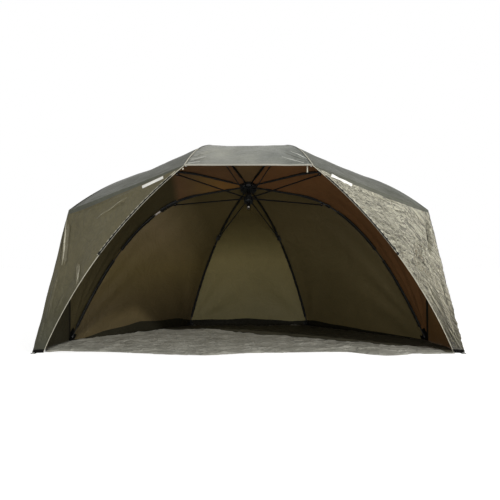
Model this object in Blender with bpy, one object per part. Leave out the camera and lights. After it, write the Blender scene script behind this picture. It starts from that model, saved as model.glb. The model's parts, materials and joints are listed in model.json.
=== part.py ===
"""Oval fishing shelter: an eight-ribbed umbrella tilted back, with two wings and a floor.

Metres, +Z up. -Y is the open front, +X the right of someone who looks in. Each rib lies in a
plane through the crown's axis, and what it carries is placed in that plane: x out from the
axis, y across the plane, z along the axis and up.
"""

import math
from dataclasses import dataclass, replace

import bmesh
import bpy
from mathutils import Matrix, Vector

# Fits
GAP = 0.0003  # between faces that touch
OVERRUN = 0.002  # how far a cutter passes the face that it opens

# Place and lean of the crown
HUB_HEIGHT = 1.103
HUB_BEHIND_MIDDLE = 0.197685
TILT = math.radians(30.3)
PEG_LINE_AHEAD = 0.775315  # from the middle to the line of the front pegs

# Ribs
HUB_PIVOT_RADIUS = 0.045
RIB_START_SLOPE = math.radians(4)
TUBE_RADIUS = 0.005  # the stiff inner length
ROD_RADIUS = 0.004  # the whippy outer length
TUBE_TAIL = 0.004  # past the hub's pin
FLEX_AT = 0.60  # from the hub's pin to the ferrule, where the rod takes over
FERRULE_LENGTH = 0.030
FERRULE_RADIUS = 0.0065
TIP_HEIGHT = 0.012  # of a grounded rib's end
LONGEST_RIB = 2.4
ROUND_SIDES = 12
TUBE_SIDES = 8

FRONT_RIB_LENGTH = 1.152
WING_RIB_LENGTH = 1.427
FRONT_FLEX_START = 0.375
WING_FLEX_START = 0.342
SIDE_FLEX_START = 0.348
REAR_FLEX_START = 0.205
FRONT_FLEX_LENGTH = 0.4135
WING_FLEX_LENGTH = 0.933
SIDE_FLEX_LENGTH = 0.546
REAR_FLEX_LENGTH = 4.12

# Brackets and stretchers
BRACKET_AT = 0.53  # along the rib
BRACKET_LENGTH = 0.050
BRACKET_RADIUS = 0.0080
BRACKET_BORE_CLEARANCE = 0.0004
EAR_LENGTH = 0.018
EAR_WIDTH = 0.013
EAR_DEPTH = 0.0265
PIN_DROP = 0.020  # from the rib's middle down to the stretcher's pin
PIN_RADIUS = 0.0020
PIN_CLEARANCE = 0.0004
STRETCHER_THICKNESS = 0.004
STRETCHER_WIDTH = 0.009
STRETCHER_SIDE_CLEARANCE = 0.0005
EAR_SLOT_TOP = 0.0105  # from the rib's middle down to the slot's top

# Crown
HUB_RADIUS = 0.062
HUB_TOP = 0.0045
HUB_BOTTOM = 0.026
HUB_BEVEL = 0.003
HUB_SLOT_CLEARANCE = 0.0008
HUB_SLOT_INNER = 0.033
POLE_TUBE_RADIUS = 0.0125
POLE_TUBE_WALL = 0.0018
POLE_TUBE_END = 0.190
POLE_SEAT_DEPTH = 0.018
SOCKET_FLANGE = 0.004
SOCKET_PLUG_LENGTH = 0.015
SOCKET_BORE = 0.0048
RUNNER_RADIUS = 0.034
RUNNER_PIVOT_RADIUS = 0.028
RUNNER_PIVOT_DROP = 0.103
RUNNER_ABOVE_PIVOT = 0.010
RUNNER_LENGTH = 0.046
RUNNER_BORE_CLEARANCE = 0.0005
RUNNER_CORE_WALL = 0.0020
CATCH_RADIUS = 0.0045
CATCH_CLEARANCE = 0.0004
CATCH_LENGTH = 0.010
CATCH_PROUD = 0.006
CATCH_HOLE_DEPTH = 0.0090
CATCH_DROP = 0.030
CAP_RADIUS = 0.036
CAP_THICKNESS = 0.006
CAP_SPIGOT_RADIUS = 0.020
CAP_BEVEL = 0.002
CAP_LIFT = 0.0016  # the cloth rises this much from the first pivot to its hole, with a fit

# Tip caps
TIP_LENGTH = 0.022
TIP_RADIUS = 0.006
TIP_INSET = 0.008  # from the cloth's corner back to the cap's end

# Cloth
CLOTH_THICKNESS = 0.003
CLOTH_ABOVE_RIB = 0.0095  # from a rib's middle up to the cloth's underside
CLOTH_HOLE_RADIUS = 0.024
HEM_PAST_TIP = 0.010
SEAM_GAP = 0.0010
ROOF_SAG_SHARE = 0.022  # of the span between two ribs
PEG_HALF_WIDTH = 1.302
ARCH_FOOT_INSET = 0.059
ARCH_FOOT_BACK = 0.02
ARCH_BOW = 0.085
FOLD_DEPTH = 0.010
FLOOR_THICKNESS = 0.003
FLOOR_INSET = 0.0045
FLOOR_FRONT_AHEAD = 0.030  # of the line of the front pegs
FLOOR_FRONT_WAVE = 0.140
FLOOR_FLAT_FROM = 0.180  # behind the line of the front pegs
ZIP_RADIUS = 0.003
ZIP_INSET = 0.012
ZIP_END_SHARE = 0.50  # of the arch, from its top
TAB_WIDTH = 0.026
TAB_LENGTH = 0.036
TAB_THICKNESS = 0.002
EYELET_RADIUS = 0.011
EYELET_WIRE = 0.0022

# Counts, turns and limits
RIB_STEPS = 80
BALL_TURNS = (math.radians(20), math.radians(50))
NOSE_TURNS = (0, math.radians(28), math.radians(56), math.radians(78))
SHARP_ANGLE = math.radians(35)
WELD = 0.00003
TUBE_STEPS = 3
ROD_STEPS = 8
GORE_COLUMNS = 6
FLOOR_COLUMNS = 24
WING_ROWS = 14
WING_FRONT_COLUMNS = 5
WING_SIDE_COLUMNS = 4

# The floor's front edge from left to right: shares of its half width, and of its wave to the back
FLOOR_EDGE_SHARES = (
    (-1.0, 1.0), (-0.8, 0.76), (-0.22, -0.46), (0.06, 0.32),
    (0.46, 0.62), (0.66, -0.60), (0.9, 0.0), (1.0, 0.3),
)

AXIS = Vector((0, math.sin(TILT), math.cos(TILT)))
FRONT = Vector((0, -math.cos(TILT), math.sin(TILT)))
HUB = Vector((0, HUB_BEHIND_MIDDLE, HUB_HEIGHT))


@dataclass
class Rib:
    """One rib: which way it points from the front, and how it bends under the cloth."""

    name: str
    azimuth: float
    flex_start: float
    flex_length: float
    end_slope: float
    length: float

    def slope(self, s):
        bent = 1 - math.exp(-max(0, s - self.flex_start) / self.flex_length)
        return RIB_START_SLOPE + (self.end_slope - RIB_START_SLOPE) * bent

    def at(self, s):
        """(x, z, slope) in the rib's plane, s along the rib from the hub's pin."""
        step = s / RIB_STEPS
        slopes = [self.slope((i + 0.5) * step) for i in range(RIB_STEPS)]
        x = HUB_PIVOT_RADIUS + step * sum(math.cos(a) for a in slopes)
        return x, -step * sum(math.sin(a) for a in slopes), self.slope(s)

    def over(self, s, lift):
        """The point this far above the rib's middle, in the world."""
        x, z, slope = self.at(s)
        return self.frame() @ Vector((x + lift * math.sin(slope), 0, z + lift * math.cos(slope)))

    def frame(self):
        out = math.sin(self.azimuth) * Vector((1, 0, 0)) + math.cos(self.azimuth) * FRONT
        turn = Matrix((out, AXIS.cross(out), AXIS)).transposed()
        return Matrix.Translation(HUB) @ turn.to_4x4()

    def seat(self, near, far):
        """The frame midway along the straight run from near to far, with x along it."""
        x, z, slope = self.chord(near, far)
        return self.frame() @ Matrix.Translation((x, 0, z)) @ Matrix.Rotation(slope, 4, "Y")

    def chord(self, near, far):
        """(x, z, slope) of the middle of a straight run."""
        x0, z0, _ = self.at(near)
        x1, z1, _ = self.at(far)
        return (x0 + x1) / 2, (z0 + z1) / 2, math.atan2(z0 - z1, x1 - x0)


def length_to_ground(rib):
    """How long a rib is whose end comes down to TIP_HEIGHT."""
    short, long = FLEX_AT, LONGEST_RIB
    for _ in range(40):
        middle = (short + long) / 2
        if rib.over(middle, 0).z > TIP_HEIGHT:
            short = middle
        else:
            long = middle
    return short


def make_ribs():
    """The eight ribs in order round the crown, from the right front to the left front."""
    degrees = math.radians
    kinds = [
        ("front", 22.5, FRONT_FLEX_START, FRONT_FLEX_LENGTH, 71.6, FRONT_RIB_LENGTH),
        ("wing", 63.1, WING_FLEX_START, WING_FLEX_LENGTH, 77.3, WING_RIB_LENGTH),
        ("side", 100.6, SIDE_FLEX_START, SIDE_FLEX_LENGTH, 77.4, 0),
        ("rear", 156.4, REAR_FLEX_START, REAR_FLEX_LENGTH, 206, 0),
    ]
    ribs = []
    for name, azimuth, start, flex, end_slope, length in kinds:
        rib = Rib(f"{name}_right", degrees(azimuth), start, flex, degrees(end_slope), length)
        rib.length = length or length_to_ground(rib)
        ribs.append(rib)
    for right in reversed(ribs[:]):
        name = right.name.replace("right", "left")
        ribs.append(replace(right, name=name, azimuth=-right.azimuth))
    return ribs


def material(name, colour, roughness, metallic=0.0):
    made = bpy.data.materials.new(name)
    made.use_nodes = True
    shader = made.node_tree.nodes["Principled BSDF"]
    shader.inputs["Base Color"].default_value = (*colour, 1)
    shader.inputs["Roughness"].default_value = roughness
    shader.inputs["Metallic"].default_value = metallic
    return made


def mesh_of(work, name):
    bmesh.ops.recalc_face_normals(work, faces=work.faces)
    mesh = bpy.data.meshes.new(name)
    work.to_mesh(mesh)
    work.free()
    return mesh


def show(name, mesh, finish, matrix=None, smooth=True):
    mesh.materials.clear()
    mesh.materials.append(finish)
    if smooth:
        mesh.shade_smooth()
        mesh.set_sharp_from_angle(angle=SHARP_ANGLE)
    obj = bpy.data.objects.new(name, mesh)
    obj.matrix_world = matrix or Matrix()
    bpy.context.scene.collection.objects.link(obj)
    return obj


def turns_of(sides):
    return [2 * math.pi * i / sides for i in range(sides)]


def swept(stations, sides, name="swept"):
    """A bar along stations (x, z, slope, radius) in the xz plane."""
    work = bmesh.new()
    rings = []
    for x, z, slope, radius in stations:
        middle = Vector((x, 0, z))
        up = radius * Vector((math.sin(slope), 0, math.cos(slope)))
        aside = Vector((0, radius, 0))
        ring = [middle + math.cos(a) * up + math.sin(a) * aside for a in turns_of(sides)]
        rings.append([work.verts.new(point) for point in ring])
    for first, second in zip(rings, rings[1:]):
        for i in range(sides):
            j = (i + 1) % sides
            work.faces.new((first[i], first[j], second[j], second[i]))
    work.faces.new(rings[0])
    work.faces.new(rings[-1])
    return mesh_of(work, name)


def turned(profile, sides, name="turned"):
    """A piece turned about z, from (radius, z) points; a zero radius closes an end."""
    work = bmesh.new()
    rings = []
    for radius, z in profile:
        if radius == 0:
            rings.append([work.verts.new((0, 0, z))])
            continue
        ring = [(radius * math.cos(a), radius * math.sin(a), z) for a in turns_of(sides)]
        rings.append([work.verts.new(point) for point in ring])
    for first, second in zip(rings, rings[1:] + rings[:1]):
        if len(first) == 1 and len(second) == 1:
            continue
        for i in range(sides):
            j = (i + 1) % sides
            a, b = first[i % len(first)], first[j % len(first)]
            c, d = second[j % len(second)], second[i % len(second)]
            work.faces.new(list(dict.fromkeys((a, b, c, d))))
    return mesh_of(work, name)


def drum(radius, low, high, sides=ROUND_SIDES):
    return turned([(0, low), (radius, low), (radius, high), (0, high)], sides)


def block(low, high):
    work = bmesh.new()
    bmesh.ops.create_cube(work, size=1)
    for vert in work.verts:
        vert.co = Vector([a + (c + 0.5) * (b - a) for a, b, c in zip(low, high, vert.co)])
    return mesh_of(work, "block")


def joined(placed, name="cutters"):
    """One mesh of several, each under its matrix."""
    work = bmesh.new()
    for mesh, matrix in placed:
        copy = mesh.copy()
        copy.transform(matrix)
        work.from_mesh(copy)
        bpy.data.meshes.remove(copy)
    mesh = bpy.data.meshes.new(name)
    work.to_mesh(mesh)
    work.free()
    return mesh


def carved(mesh, *steps, bevel=0.0):
    """The mesh after each (operation, other mesh) step."""
    body = bpy.data.objects.new("carved", mesh)
    helpers = []
    collection = bpy.context.scene.collection
    collection.objects.link(body)
    if bevel:
        edge = body.modifiers.new("bevel", "BEVEL")
        edge.width = bevel
        edge.segments = 1
        edge.limit_method = "ANGLE"
    for operation, other in steps:
        helper = bpy.data.objects.new("helper", other)
        helper.hide_render = True
        helper.display_type = "WIRE"
        collection.objects.link(helper)
        helpers.append(helper)
        step = body.modifiers.new(operation, "BOOLEAN")
        step.operation = operation
        step.solver = "EXACT"
        step.object = helper
    bpy.context.view_layer.update()
    graph = bpy.context.evaluated_depsgraph_get()
    made = bpy.data.meshes.new_from_object(body.evaluated_get(graph))
    for helper in [body, *helpers]:
        bpy.data.objects.remove(helper)
    return made


def across(radius, length, x, z, sides=ROUND_SIDES):
    """A pin through the rib's plane, centred on y."""
    pin = drum(radius, -length / 2, length / 2, sides)
    pin.transform(Matrix.Translation((x, 0, z)) @ Matrix.Rotation(math.pi / 2, 4, "X"))
    return pin


def about_axis(mesh, ribs):
    """Copies of a mesh made in a rib's plane, one for each rib, in the crown's frame."""
    to_crown = hub_frame().inverted()
    return joined([(mesh, to_crown @ rib.frame()) for rib in ribs])


def hub_frame():
    """Crown's frame: z along its axis, y to the back, x to the right."""
    turn = Matrix((Vector((1, 0, 0)), -FRONT, AXIS)).transposed()
    return Matrix.Translation(HUB) @ turn.to_4x4()


def build_crown(ribs, finishes):
    frame = hub_frame()
    tube_dia = 2 * TUBE_RADIUS
    slot = block(
        (HUB_SLOT_INNER, -TUBE_RADIUS - HUB_SLOT_CLEARANCE, -HUB_BOTTOM - OVERRUN),
        (HUB_RADIUS + OVERRUN, TUBE_RADIUS + HUB_SLOT_CLEARANCE, HUB_TOP + OVERRUN),
    )
    pin = across(PIN_RADIUS, tube_dia + 2 * (HUB_SLOT_CLEARANCE + OVERRUN), HUB_PIVOT_RADIUS, 0)
    seat_top = -HUB_BOTTOM + POLE_SEAT_DEPTH
    seat = drum(POLE_TUBE_RADIUS + GAP, -HUB_BOTTOM - OVERRUN, seat_top, 16)
    hub = carved(drum(HUB_RADIUS, -HUB_BOTTOM, HUB_TOP, 32), bevel=HUB_BEVEL)
    slots, pins = about_axis(slot, ribs), about_axis(pin, ribs)
    hub = carved(hub, ("DIFFERENCE", slots), ("DIFFERENCE", seat), ("UNION", pins))
    show("crown_hub", hub, finishes["hub"], frame)

    under = CLOTH_ABOVE_RIB + CLOTH_THICKNESS + CAP_LIFT
    cap = carved(drum(CAP_RADIUS, under, under + CAP_THICKNESS, 24), bevel=CAP_BEVEL)
    spigot = drum(CAP_SPIGOT_RADIUS, HUB_TOP + GAP, under + CAP_BEVEL, 24)
    show("crown_cap", carved(cap, ("UNION", spigot)), finishes["hub"], frame)

    inner = POLE_TUBE_RADIUS - POLE_TUBE_WALL
    top = seat_top - GAP
    end = -POLE_TUBE_END
    tube = [(inner, top), (POLE_TUBE_RADIUS, top), (POLE_TUBE_RADIUS, end), (inner, end)]
    show("centre_tube", turned(tube, 16), finishes["tube"], frame)

    lip = end - GAP
    plug, plug_top = inner - GAP, lip + SOCKET_PLUG_LENGTH
    socket = [
        (SOCKET_BORE, plug_top), (plug, plug_top), (plug, lip), (POLE_TUBE_RADIUS, lip),
        (POLE_TUBE_RADIUS, lip - SOCKET_FLANGE), (SOCKET_BORE, lip - SOCKET_FLANGE),
    ]
    show("pole_socket", turned(socket, 16), finishes["bright"], frame)


def build_runner(ribs, finishes):
    """The collar that slides on the tube. Its slots run its whole height, past the stretchers."""
    top = -RUNNER_PIVOT_DROP + RUNNER_ABOVE_PIVOT
    bottom = top - RUNNER_LENGTH
    bore = POLE_TUBE_RADIUS + RUNNER_BORE_CLEARANCE
    half_slot = STRETCHER_THICKNESS / 2 + STRETCHER_SIDE_CLEARANCE
    slot = block(
        (bore + RUNNER_CORE_WALL, -half_slot, bottom - OVERRUN),
        (RUNNER_RADIUS + OVERRUN, half_slot, top + OVERRUN),
    )
    to_front = Matrix.Translation((0, 0, top - CATCH_DROP)) @ Matrix.Rotation(math.pi / 2, 4, "X")
    floor = RUNNER_RADIUS - CATCH_HOLE_DEPTH
    hole = drum(CATCH_RADIUS + CATCH_CLEARANCE, floor, RUNNER_RADIUS + OVERRUN)
    hole.transform(to_front)
    collar = carved(drum(RUNNER_RADIUS, bottom, top, 32), bevel=OVERRUN)
    collar = carved(
        collar,
        ("DIFFERENCE", drum(bore, bottom - OVERRUN, top + OVERRUN, 16)),
        ("DIFFERENCE", about_axis(slot, ribs)),
        ("DIFFERENCE", hole),
    )
    frame = hub_frame()
    show("runner", collar, finishes["hub"], frame)
    outer = RUNNER_RADIUS + CATCH_PROUD
    catch = carved(drum(CATCH_RADIUS, outer - CATCH_LENGTH, outer), bevel=CATCH_CLEARANCE)
    show("catch_button", catch, finishes["hub"], frame @ to_front)


def bracket_mesh():
    """A moulded clip on the rib with two ears, a pin between them for the stretcher."""
    sleeve = drum(BRACKET_RADIUS, -BRACKET_LENGTH / 2, BRACKET_LENGTH / 2)
    sleeve.transform(Matrix.Rotation(math.pi / 2, 4, "Y"))
    ears = block((-EAR_LENGTH / 2, -EAR_WIDTH / 2, -EAR_DEPTH), (EAR_LENGTH / 2, EAR_WIDTH / 2, 0))
    bore = drum(TUBE_RADIUS + BRACKET_BORE_CLEARANCE, -BRACKET_LENGTH, BRACKET_LENGTH)
    bore.transform(Matrix.Rotation(math.pi / 2, 4, "Y"))
    half_slot = STRETCHER_THICKNESS / 2 + STRETCHER_SIDE_CLEARANCE
    slot = block((-EAR_LENGTH, -half_slot, -EAR_DEPTH - OVERRUN), (EAR_LENGTH, half_slot, -EAR_SLOT_TOP))
    pin = across(PIN_RADIUS, EAR_WIDTH - OVERRUN / 2, 0, -PIN_DROP)
    return carved(
        sleeve, ("UNION", ears), ("DIFFERENCE", bore), ("DIFFERENCE", slot), ("UNION", pin)
    )


def bracket_run():
    """From where to where a rib's tube is straight, for its bracket."""
    half = BRACKET_LENGTH / 2 + OVERRUN
    return BRACKET_AT - half, BRACKET_AT + half


def stretcher_ends(rib):
    """The two pivots of a rib's stretcher, in the rib's plane."""
    x, z, slope = rib.chord(*bracket_run())
    outer = Vector((x - PIN_DROP * math.sin(slope), 0, z - PIN_DROP * math.cos(slope)))
    return Vector((RUNNER_PIVOT_RADIUS, 0, -RUNNER_PIVOT_DROP)), outer


def stretcher_mesh(length):
    """A flat bar from its outer pin, at the origin, to its rounded inner end along +x."""
    work = bmesh.new()
    half = STRETCHER_WIDTH / 2
    arc = [math.pi / 2 + math.pi * i / 8 for i in range(9)]
    outline = [(half * math.cos(a), half * math.sin(a)) for a in arc]
    outline += [(length - x, -z) for x, z in outline]
    side = [work.verts.new((x, -STRETCHER_THICKNESS / 2, z)) for x, z in outline]
    face = work.faces.new(side)
    pushed = bmesh.ops.extrude_face_region(work, geom=[face])["geom"]
    moved = [item for item in pushed if isinstance(item, bmesh.types.BMVert)]
    bmesh.ops.translate(work, verts=moved, vec=(0, STRETCHER_THICKNESS, 0))
    bar = mesh_of(work, "stretcher")
    eye = across(PIN_RADIUS + PIN_CLEARANCE, STRETCHER_THICKNESS + 2 * OVERRUN, 0, 0)
    return carved(bar, ("DIFFERENCE", eye))


def tube_stations(rib):
    """Distances along the stiff length: straight through the bracket and through the ferrule."""
    near, far = bracket_run()
    run = [near * i / TUBE_STEPS for i in range(1, TUBE_STEPS + 1)]
    return run + [far, (far + FLEX_AT - FERRULE_LENGTH) / 2, FLEX_AT - FERRULE_LENGTH, FLEX_AT]


def rod_stations(rib, end):
    return [FLEX_AT + (end - FLEX_AT) * i / ROD_STEPS for i in range(1, ROD_STEPS + 1)]


def build_rib(rib, meshes, finishes):
    frame = rib.frame()
    origin = frame @ Matrix.Translation((HUB_PIVOT_RADIUS, 0, 0))

    def shifted(s, radius, x0, z0):
        x, z, slope = rib.at(s)
        return (x - x0, z - z0, slope, radius)

    tail = [(-TUBE_TAIL, TUBE_TAIL * math.sin(RIB_START_SLOPE), RIB_START_SLOPE, TUBE_RADIUS)]
    ferrule = FLEX_AT - FERRULE_LENGTH
    body = [shifted(s, TUBE_RADIUS, HUB_PIVOT_RADIUS, 0) for s in tube_stations(rib)[:-2]]
    body.append(shifted(ferrule, TUBE_RADIUS, HUB_PIVOT_RADIUS, 0))
    body.append(shifted(ferrule + OVERRUN, FERRULE_RADIUS, HUB_PIVOT_RADIUS, 0))
    body.append(shifted(FLEX_AT - ROD_RADIUS - 2 * GAP, FERRULE_RADIUS, HUB_PIVOT_RADIUS, 0))
    tube = swept(tail + body, TUBE_SIDES)
    eye = across(PIN_RADIUS + PIN_CLEARANCE, 4 * TUBE_RADIUS, 0, 0)
    show(f"rib_tube_{rib.name}", carved(tube, ("DIFFERENCE", eye)), finishes["rib"], origin)

    x0, z0, slope0 = rib.at(FLEX_AT)
    end = rib.length - TIP_INSET - TIP_LENGTH
    ball = []
    for turn in BALL_TURNS:
        back, radius = ROD_RADIUS * math.cos(turn), ROD_RADIUS * math.sin(turn)
        ball.append((-back * math.cos(slope0), back * math.sin(slope0), slope0, radius))
    run = [shifted(s, ROD_RADIUS, x0, z0) for s in [FLEX_AT, *rod_stations(rib, end)]]
    rod_origin = frame @ Matrix.Translation((x0, 0, z0))
    show(f"rib_rod_{rib.name}", swept(ball + run, TUBE_SIDES), finishes["rib"], rod_origin)

    show(f"bracket_{rib.name}", meshes["bracket"].copy(), finishes["hub"], rib.seat(*bracket_run()))
    x, z, slope = rib.at(end)
    tip_place = frame @ Matrix.Translation((x, 0, z)) @ Matrix.Rotation(slope, 4, "Y")
    show(f"tip_cap_{rib.name}", meshes["tip"].copy(), finishes["bright"], tip_place)

    inner, outer = stretcher_ends(rib)
    along = inner - outer
    turn = Matrix.Rotation(math.atan2(-along.z, along.x), 4, "Y")
    placed = frame @ Matrix.Translation(outer) @ turn
    show(f"stretcher_{rib.name}", stretcher_mesh(along.length), finishes["steel"], placed)


def tip_mesh():
    """A cap on the rib's end, a collar and a round nose."""
    middle = TIP_LENGTH - TIP_RADIUS
    stations = [(GAP, 0, 0, ROD_RADIUS), (TIP_RADIUS / 2, 0, 0, TIP_RADIUS)]
    for turn in NOSE_TURNS:
        stations.append((middle + TIP_RADIUS * math.sin(turn), 0, 0, TIP_RADIUS * math.cos(turn)))
    return swept(stations, ROUND_SIDES)


def raised(grid, outward, closed_across):
    """The grid's points moved out by the cloth's thickness, and none below the ground."""
    rows, columns = len(grid), len(grid[0])

    def beside(i, j):
        if closed_across:
            return grid[i][(j + 1) % columns] - grid[i][(j - 1) % columns]
        return grid[i][min(columns - 1, j + 1)] - grid[i][max(0, j - 1)]

    outer = []
    for i, row in enumerate(grid):
        points = []
        for j, point in enumerate(row):
            down = grid[min(rows - 1, i + 1)][j] - grid[max(0, i - 1)][j]
            over = beside(i, j)
            if over.length < SEAM_GAP:
                over = beside(min(rows - 1, i + 1), j)
            normal = over.cross(down).normalized()
            if normal.dot(outward(point)) < 0:
                normal.negate()
            place = point + CLOTH_THICKNESS * normal
            place.z = max(place.z, 0)
            points.append(place)
        outer.append(points)
    return outer


def shell(grid, outward, closed_across):
    """A closed skin of cloth on a grid of points: rows of equal length."""
    rows, columns = len(grid), len(grid[0])
    work = bmesh.new()
    under = [[work.verts.new(p) for p in row] for row in grid]
    over = [[work.verts.new(p) for p in row] for row in raised(grid, outward, closed_across)]
    across_count = columns if closed_across else columns - 1
    for i in range(rows - 1):
        for j in range(across_count):
            k = (j + 1) % columns
            for skin in (under, over):
                work.faces.new((skin[i][j], skin[i][k], skin[i + 1][k], skin[i + 1][j]))
    for i in (0, rows - 1):
        for j in range(across_count):
            k = (j + 1) % columns
            work.faces.new((under[i][j], under[i][k], over[i][k], over[i][j]))
    if not closed_across:
        for j in (0, columns - 1):
            for i in range(rows - 1):
                work.faces.new((under[i][j], under[i + 1][j], over[i + 1][j], over[i][j]))
    bmesh.ops.remove_doubles(work, verts=work.verts, dist=WELD)
    bmesh.ops.dissolve_degenerate(work, edges=work.edges, dist=WELD)
    return mesh_of(work, "cloth")


def roof_stations(rib, length):
    """Distances along a rib at which its cloth has a row, from the hole to the hem."""
    return [CLOTH_HOLE_RADIUS - HUB_PIVOT_RADIUS, *tube_stations(rib), *rod_stations(rib, length)]


def cloth_end(rib):
    return rib.length + (HEM_PAST_TIP if on_ground(rib) else 0)


def on_ground(*ribs):
    return all(rib.name.startswith(("side", "rear")) for rib in ribs)


def roof_grid(ribs):
    """Rows from the hole to the hem, columns round the crown."""
    columns = []
    for rib, after in zip(ribs, ribs[1:] + ribs[:1]):
        one, two = roof_stations(rib, cloth_end(rib)), roof_stations(after, cloth_end(after))
        last = len(one) - 1
        for column in range(GORE_COLUMNS):
            share = column / GORE_COLUMNS
            points = []
            for row, (s, t) in enumerate(zip(one, two)):
                a, b = rib.over(s, CLOTH_ABOVE_RIB), after.over(t, CLOTH_ABOVE_RIB)
                slack = 4 * share * (1 - share) * math.sin(math.pi * row / last)
                point = a.lerp(b, share)
                point += ROOF_SAG_SHARE * (b - a).length * slack * (HUB - point).normalized()
                on_hem = row == last and on_ground(rib, after)
                point.z = 0 if on_hem else max(point.z, 0)
                points.append(point)
            columns.append(points)
    return [list(row) for row in zip(*columns)]


def away_from_inside(point):
    return point - Vector((0, HUB.y, HUB.z / 2))


def arch_point(top, foot, share):
    """The edge of the front opening, bowed out of its chord."""
    chord = foot - top
    out = chord.cross(Vector((0, 1, 0))).normalized() * math.copysign(1, foot.x)
    return top.lerp(foot, share) + out * ARCH_BOW * 4 * share * (1 - share)


def wing_corners(ribs, side):
    named = {rib.name: rib for rib in ribs}
    corner = [named[f"{kind}_{side}"] for kind in ("front", "wing", "side")]
    top, peak, heel = (rib.over(cloth_end(rib), CLOTH_ABOVE_RIB) for rib in corner)
    heel.z = 0
    sign = math.copysign(1, peak.x)
    peg = Vector((sign * PEG_HALF_WIDTH, -PEG_LINE_AHEAD, 0))
    foot = peg + Vector((-sign * ARCH_FOOT_INSET, ARCH_FOOT_BACK, 0))
    return top, peak, heel, peg, foot


def wing_grid(ribs, side):
    """Rows down the wing, columns from the arch over the front fold to the rear seam."""
    top, peak, heel, peg, foot = wing_corners(ribs, side)
    grid = []
    for row in range(WING_ROWS + 1):
        down = row / WING_ROWS
        arch = arch_point(top, foot, down)
        fold = peak.lerp(peg, down)
        seam = peak.lerp(heel, down)
        points = []
        for column in range(WING_FRONT_COLUMNS):
            share = column / WING_FRONT_COLUMNS
            bow = 4 * share * (1 - share) * math.sin(math.pi * down)
            point = arch.lerp(fold, share)
            point.y += FOLD_DEPTH * bow * math.cos(2 * math.pi * (share + down))
            points.append(point)
        for column in range(WING_SIDE_COLUMNS + 1):
            share = column / WING_SIDE_COLUMNS
            bow = 4 * share * (1 - share) * math.sin(math.pi * down)
            point = fold.lerp(seam, share)
            point.x -= math.copysign(FOLD_DEPTH * bow, peak.x)
            points.append(point)
        grid.append([p.copy() for p in points])
    for point in grid[0]:
        point.z -= SEAM_GAP
    for row in grid[1:]:
        row[-1] += (row[-2] - row[-1]).normalized() * SEAM_GAP
    for row in grid:
        for point in row:
            point.z = max(point.z, 0)
    return grid


def build_zip(grid, side, finishes):
    """Half a zip along the arch, on the wing's outer face."""
    rows = round(WING_ROWS * ZIP_END_SHARE)
    work = bmesh.new()
    rings = []
    for i in range(1, rows + 1):
        inner, outer = grid[i][0], grid[i][1]
        along = (grid[i + 1][0] - grid[i - 1][0]).normalized()
        over = (outer - inner).normalized()
        normal = along.cross(over).normalized()
        if normal.y > 0:
            normal.negate()
        centre = inner + over * ZIP_INSET + normal * (CLOTH_THICKNESS + 2 * GAP + ZIP_RADIUS / 2)
        across_tape = normal.cross(along).normalized()
        ring = [math.cos(a) * normal / 2 + math.sin(a) * across_tape for a in turns_of(TUBE_SIDES)]
        rings.append([work.verts.new(centre + ZIP_RADIUS * point) for point in ring])
    for first, second in zip(rings, rings[1:]):
        for i in range(TUBE_SIDES):
            j = (i + 1) % TUBE_SIDES
            work.faces.new((first[i], first[j], second[j], second[i]))
    work.faces.new(rings[0])
    work.faces.new(rings[-1])
    show(f"zip_{side}", mesh_of(work, "zip"), finishes["zip"])


def build_peg_points(ribs, side, finishes):
    """A webbing tab ahead of the wing's front corner and the ring that a peg goes through."""
    peg = wing_corners(ribs, side)[3]
    inward = -math.copysign(TAB_WIDTH / 2, peg.x)
    start = Vector((peg.x + inward, peg.y - GAP, 0))
    to_hole = Matrix.Translation((0, TAB_WIDTH / 2 - TAB_LENGTH, 0))
    hole = drum(EYELET_RADIUS - EYELET_WIRE, -OVERRUN, TAB_THICKNESS + OVERRUN, 16)
    hole.transform(to_hole)
    strap = block((-TAB_WIDTH / 2, -TAB_LENGTH, 0), (TAB_WIDTH / 2, 0, TAB_THICKNESS))
    place = Matrix.Translation(start)
    show(f"peg_tab_{side}", carved(strap, ("DIFFERENCE", hole)), finishes["webbing"], place)
    bore = EYELET_RADIUS - 2 * EYELET_WIRE
    neck = EYELET_RADIUS - EYELET_WIRE - GAP
    lip, top = TAB_THICKNESS + GAP, TAB_THICKNESS + EYELET_WIRE
    rim = EYELET_RADIUS
    profile = [(bore, 0), (neck, 0), (neck, lip), (rim, lip), (rim, top), (bore, top)]
    show(f"eyelet_{side}", turned(profile, 16), finishes["bright"], place @ to_hole)


def floor_front(share):
    """How far back the floor's front edge lies, as a share of its wave, at -1 to 1 across."""
    for (x0, y0), (x1, y1) in zip(FLOOR_EDGE_SHARES, FLOOR_EDGE_SHARES[1:]):
        if share <= x1:
            ease = (1 - math.cos(math.pi * (share - x0) / (x1 - x0))) / 2
            return y0 + (y1 - y0) * ease
    return FLOOR_EDGE_SHARES[-1][1]


def floor_grid(ribs):
    """Rows from the slack front edge to the back, just inside the hems."""
    _, _, heel, peg, _ = wing_corners(ribs, "right")
    rear = next(rib for rib in ribs if rib.name == "rear_right")
    back = rear.over(cloth_end(rear), CLOTH_ABOVE_RIB)
    flat_from = peg.lerp(heel, FLOOR_FLAT_FROM / (heel.y - peg.y))
    front = Vector((peg.x - ARCH_FOOT_INSET, peg.y - FLOOR_FRONT_AHEAD))
    stops = [front, flat_from.xy, heel.xy, (heel.xy + back.xy) / 2, back.xy - Vector((0, FLOOR_INSET))]
    grid = []
    for row, stop in enumerate(stops):
        wave = 0 if row else FLOOR_FRONT_WAVE
        points = []
        for column in range(FLOOR_COLUMNS + 1):
            share = 2 * column / FLOOR_COLUMNS - 1
            x, y = (stop.x - FLOOR_INSET) * share, stop.y + wave * floor_front(share)
            points.append(Vector((x, y, 0)))
        grid.append(points)
    return grid


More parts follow.
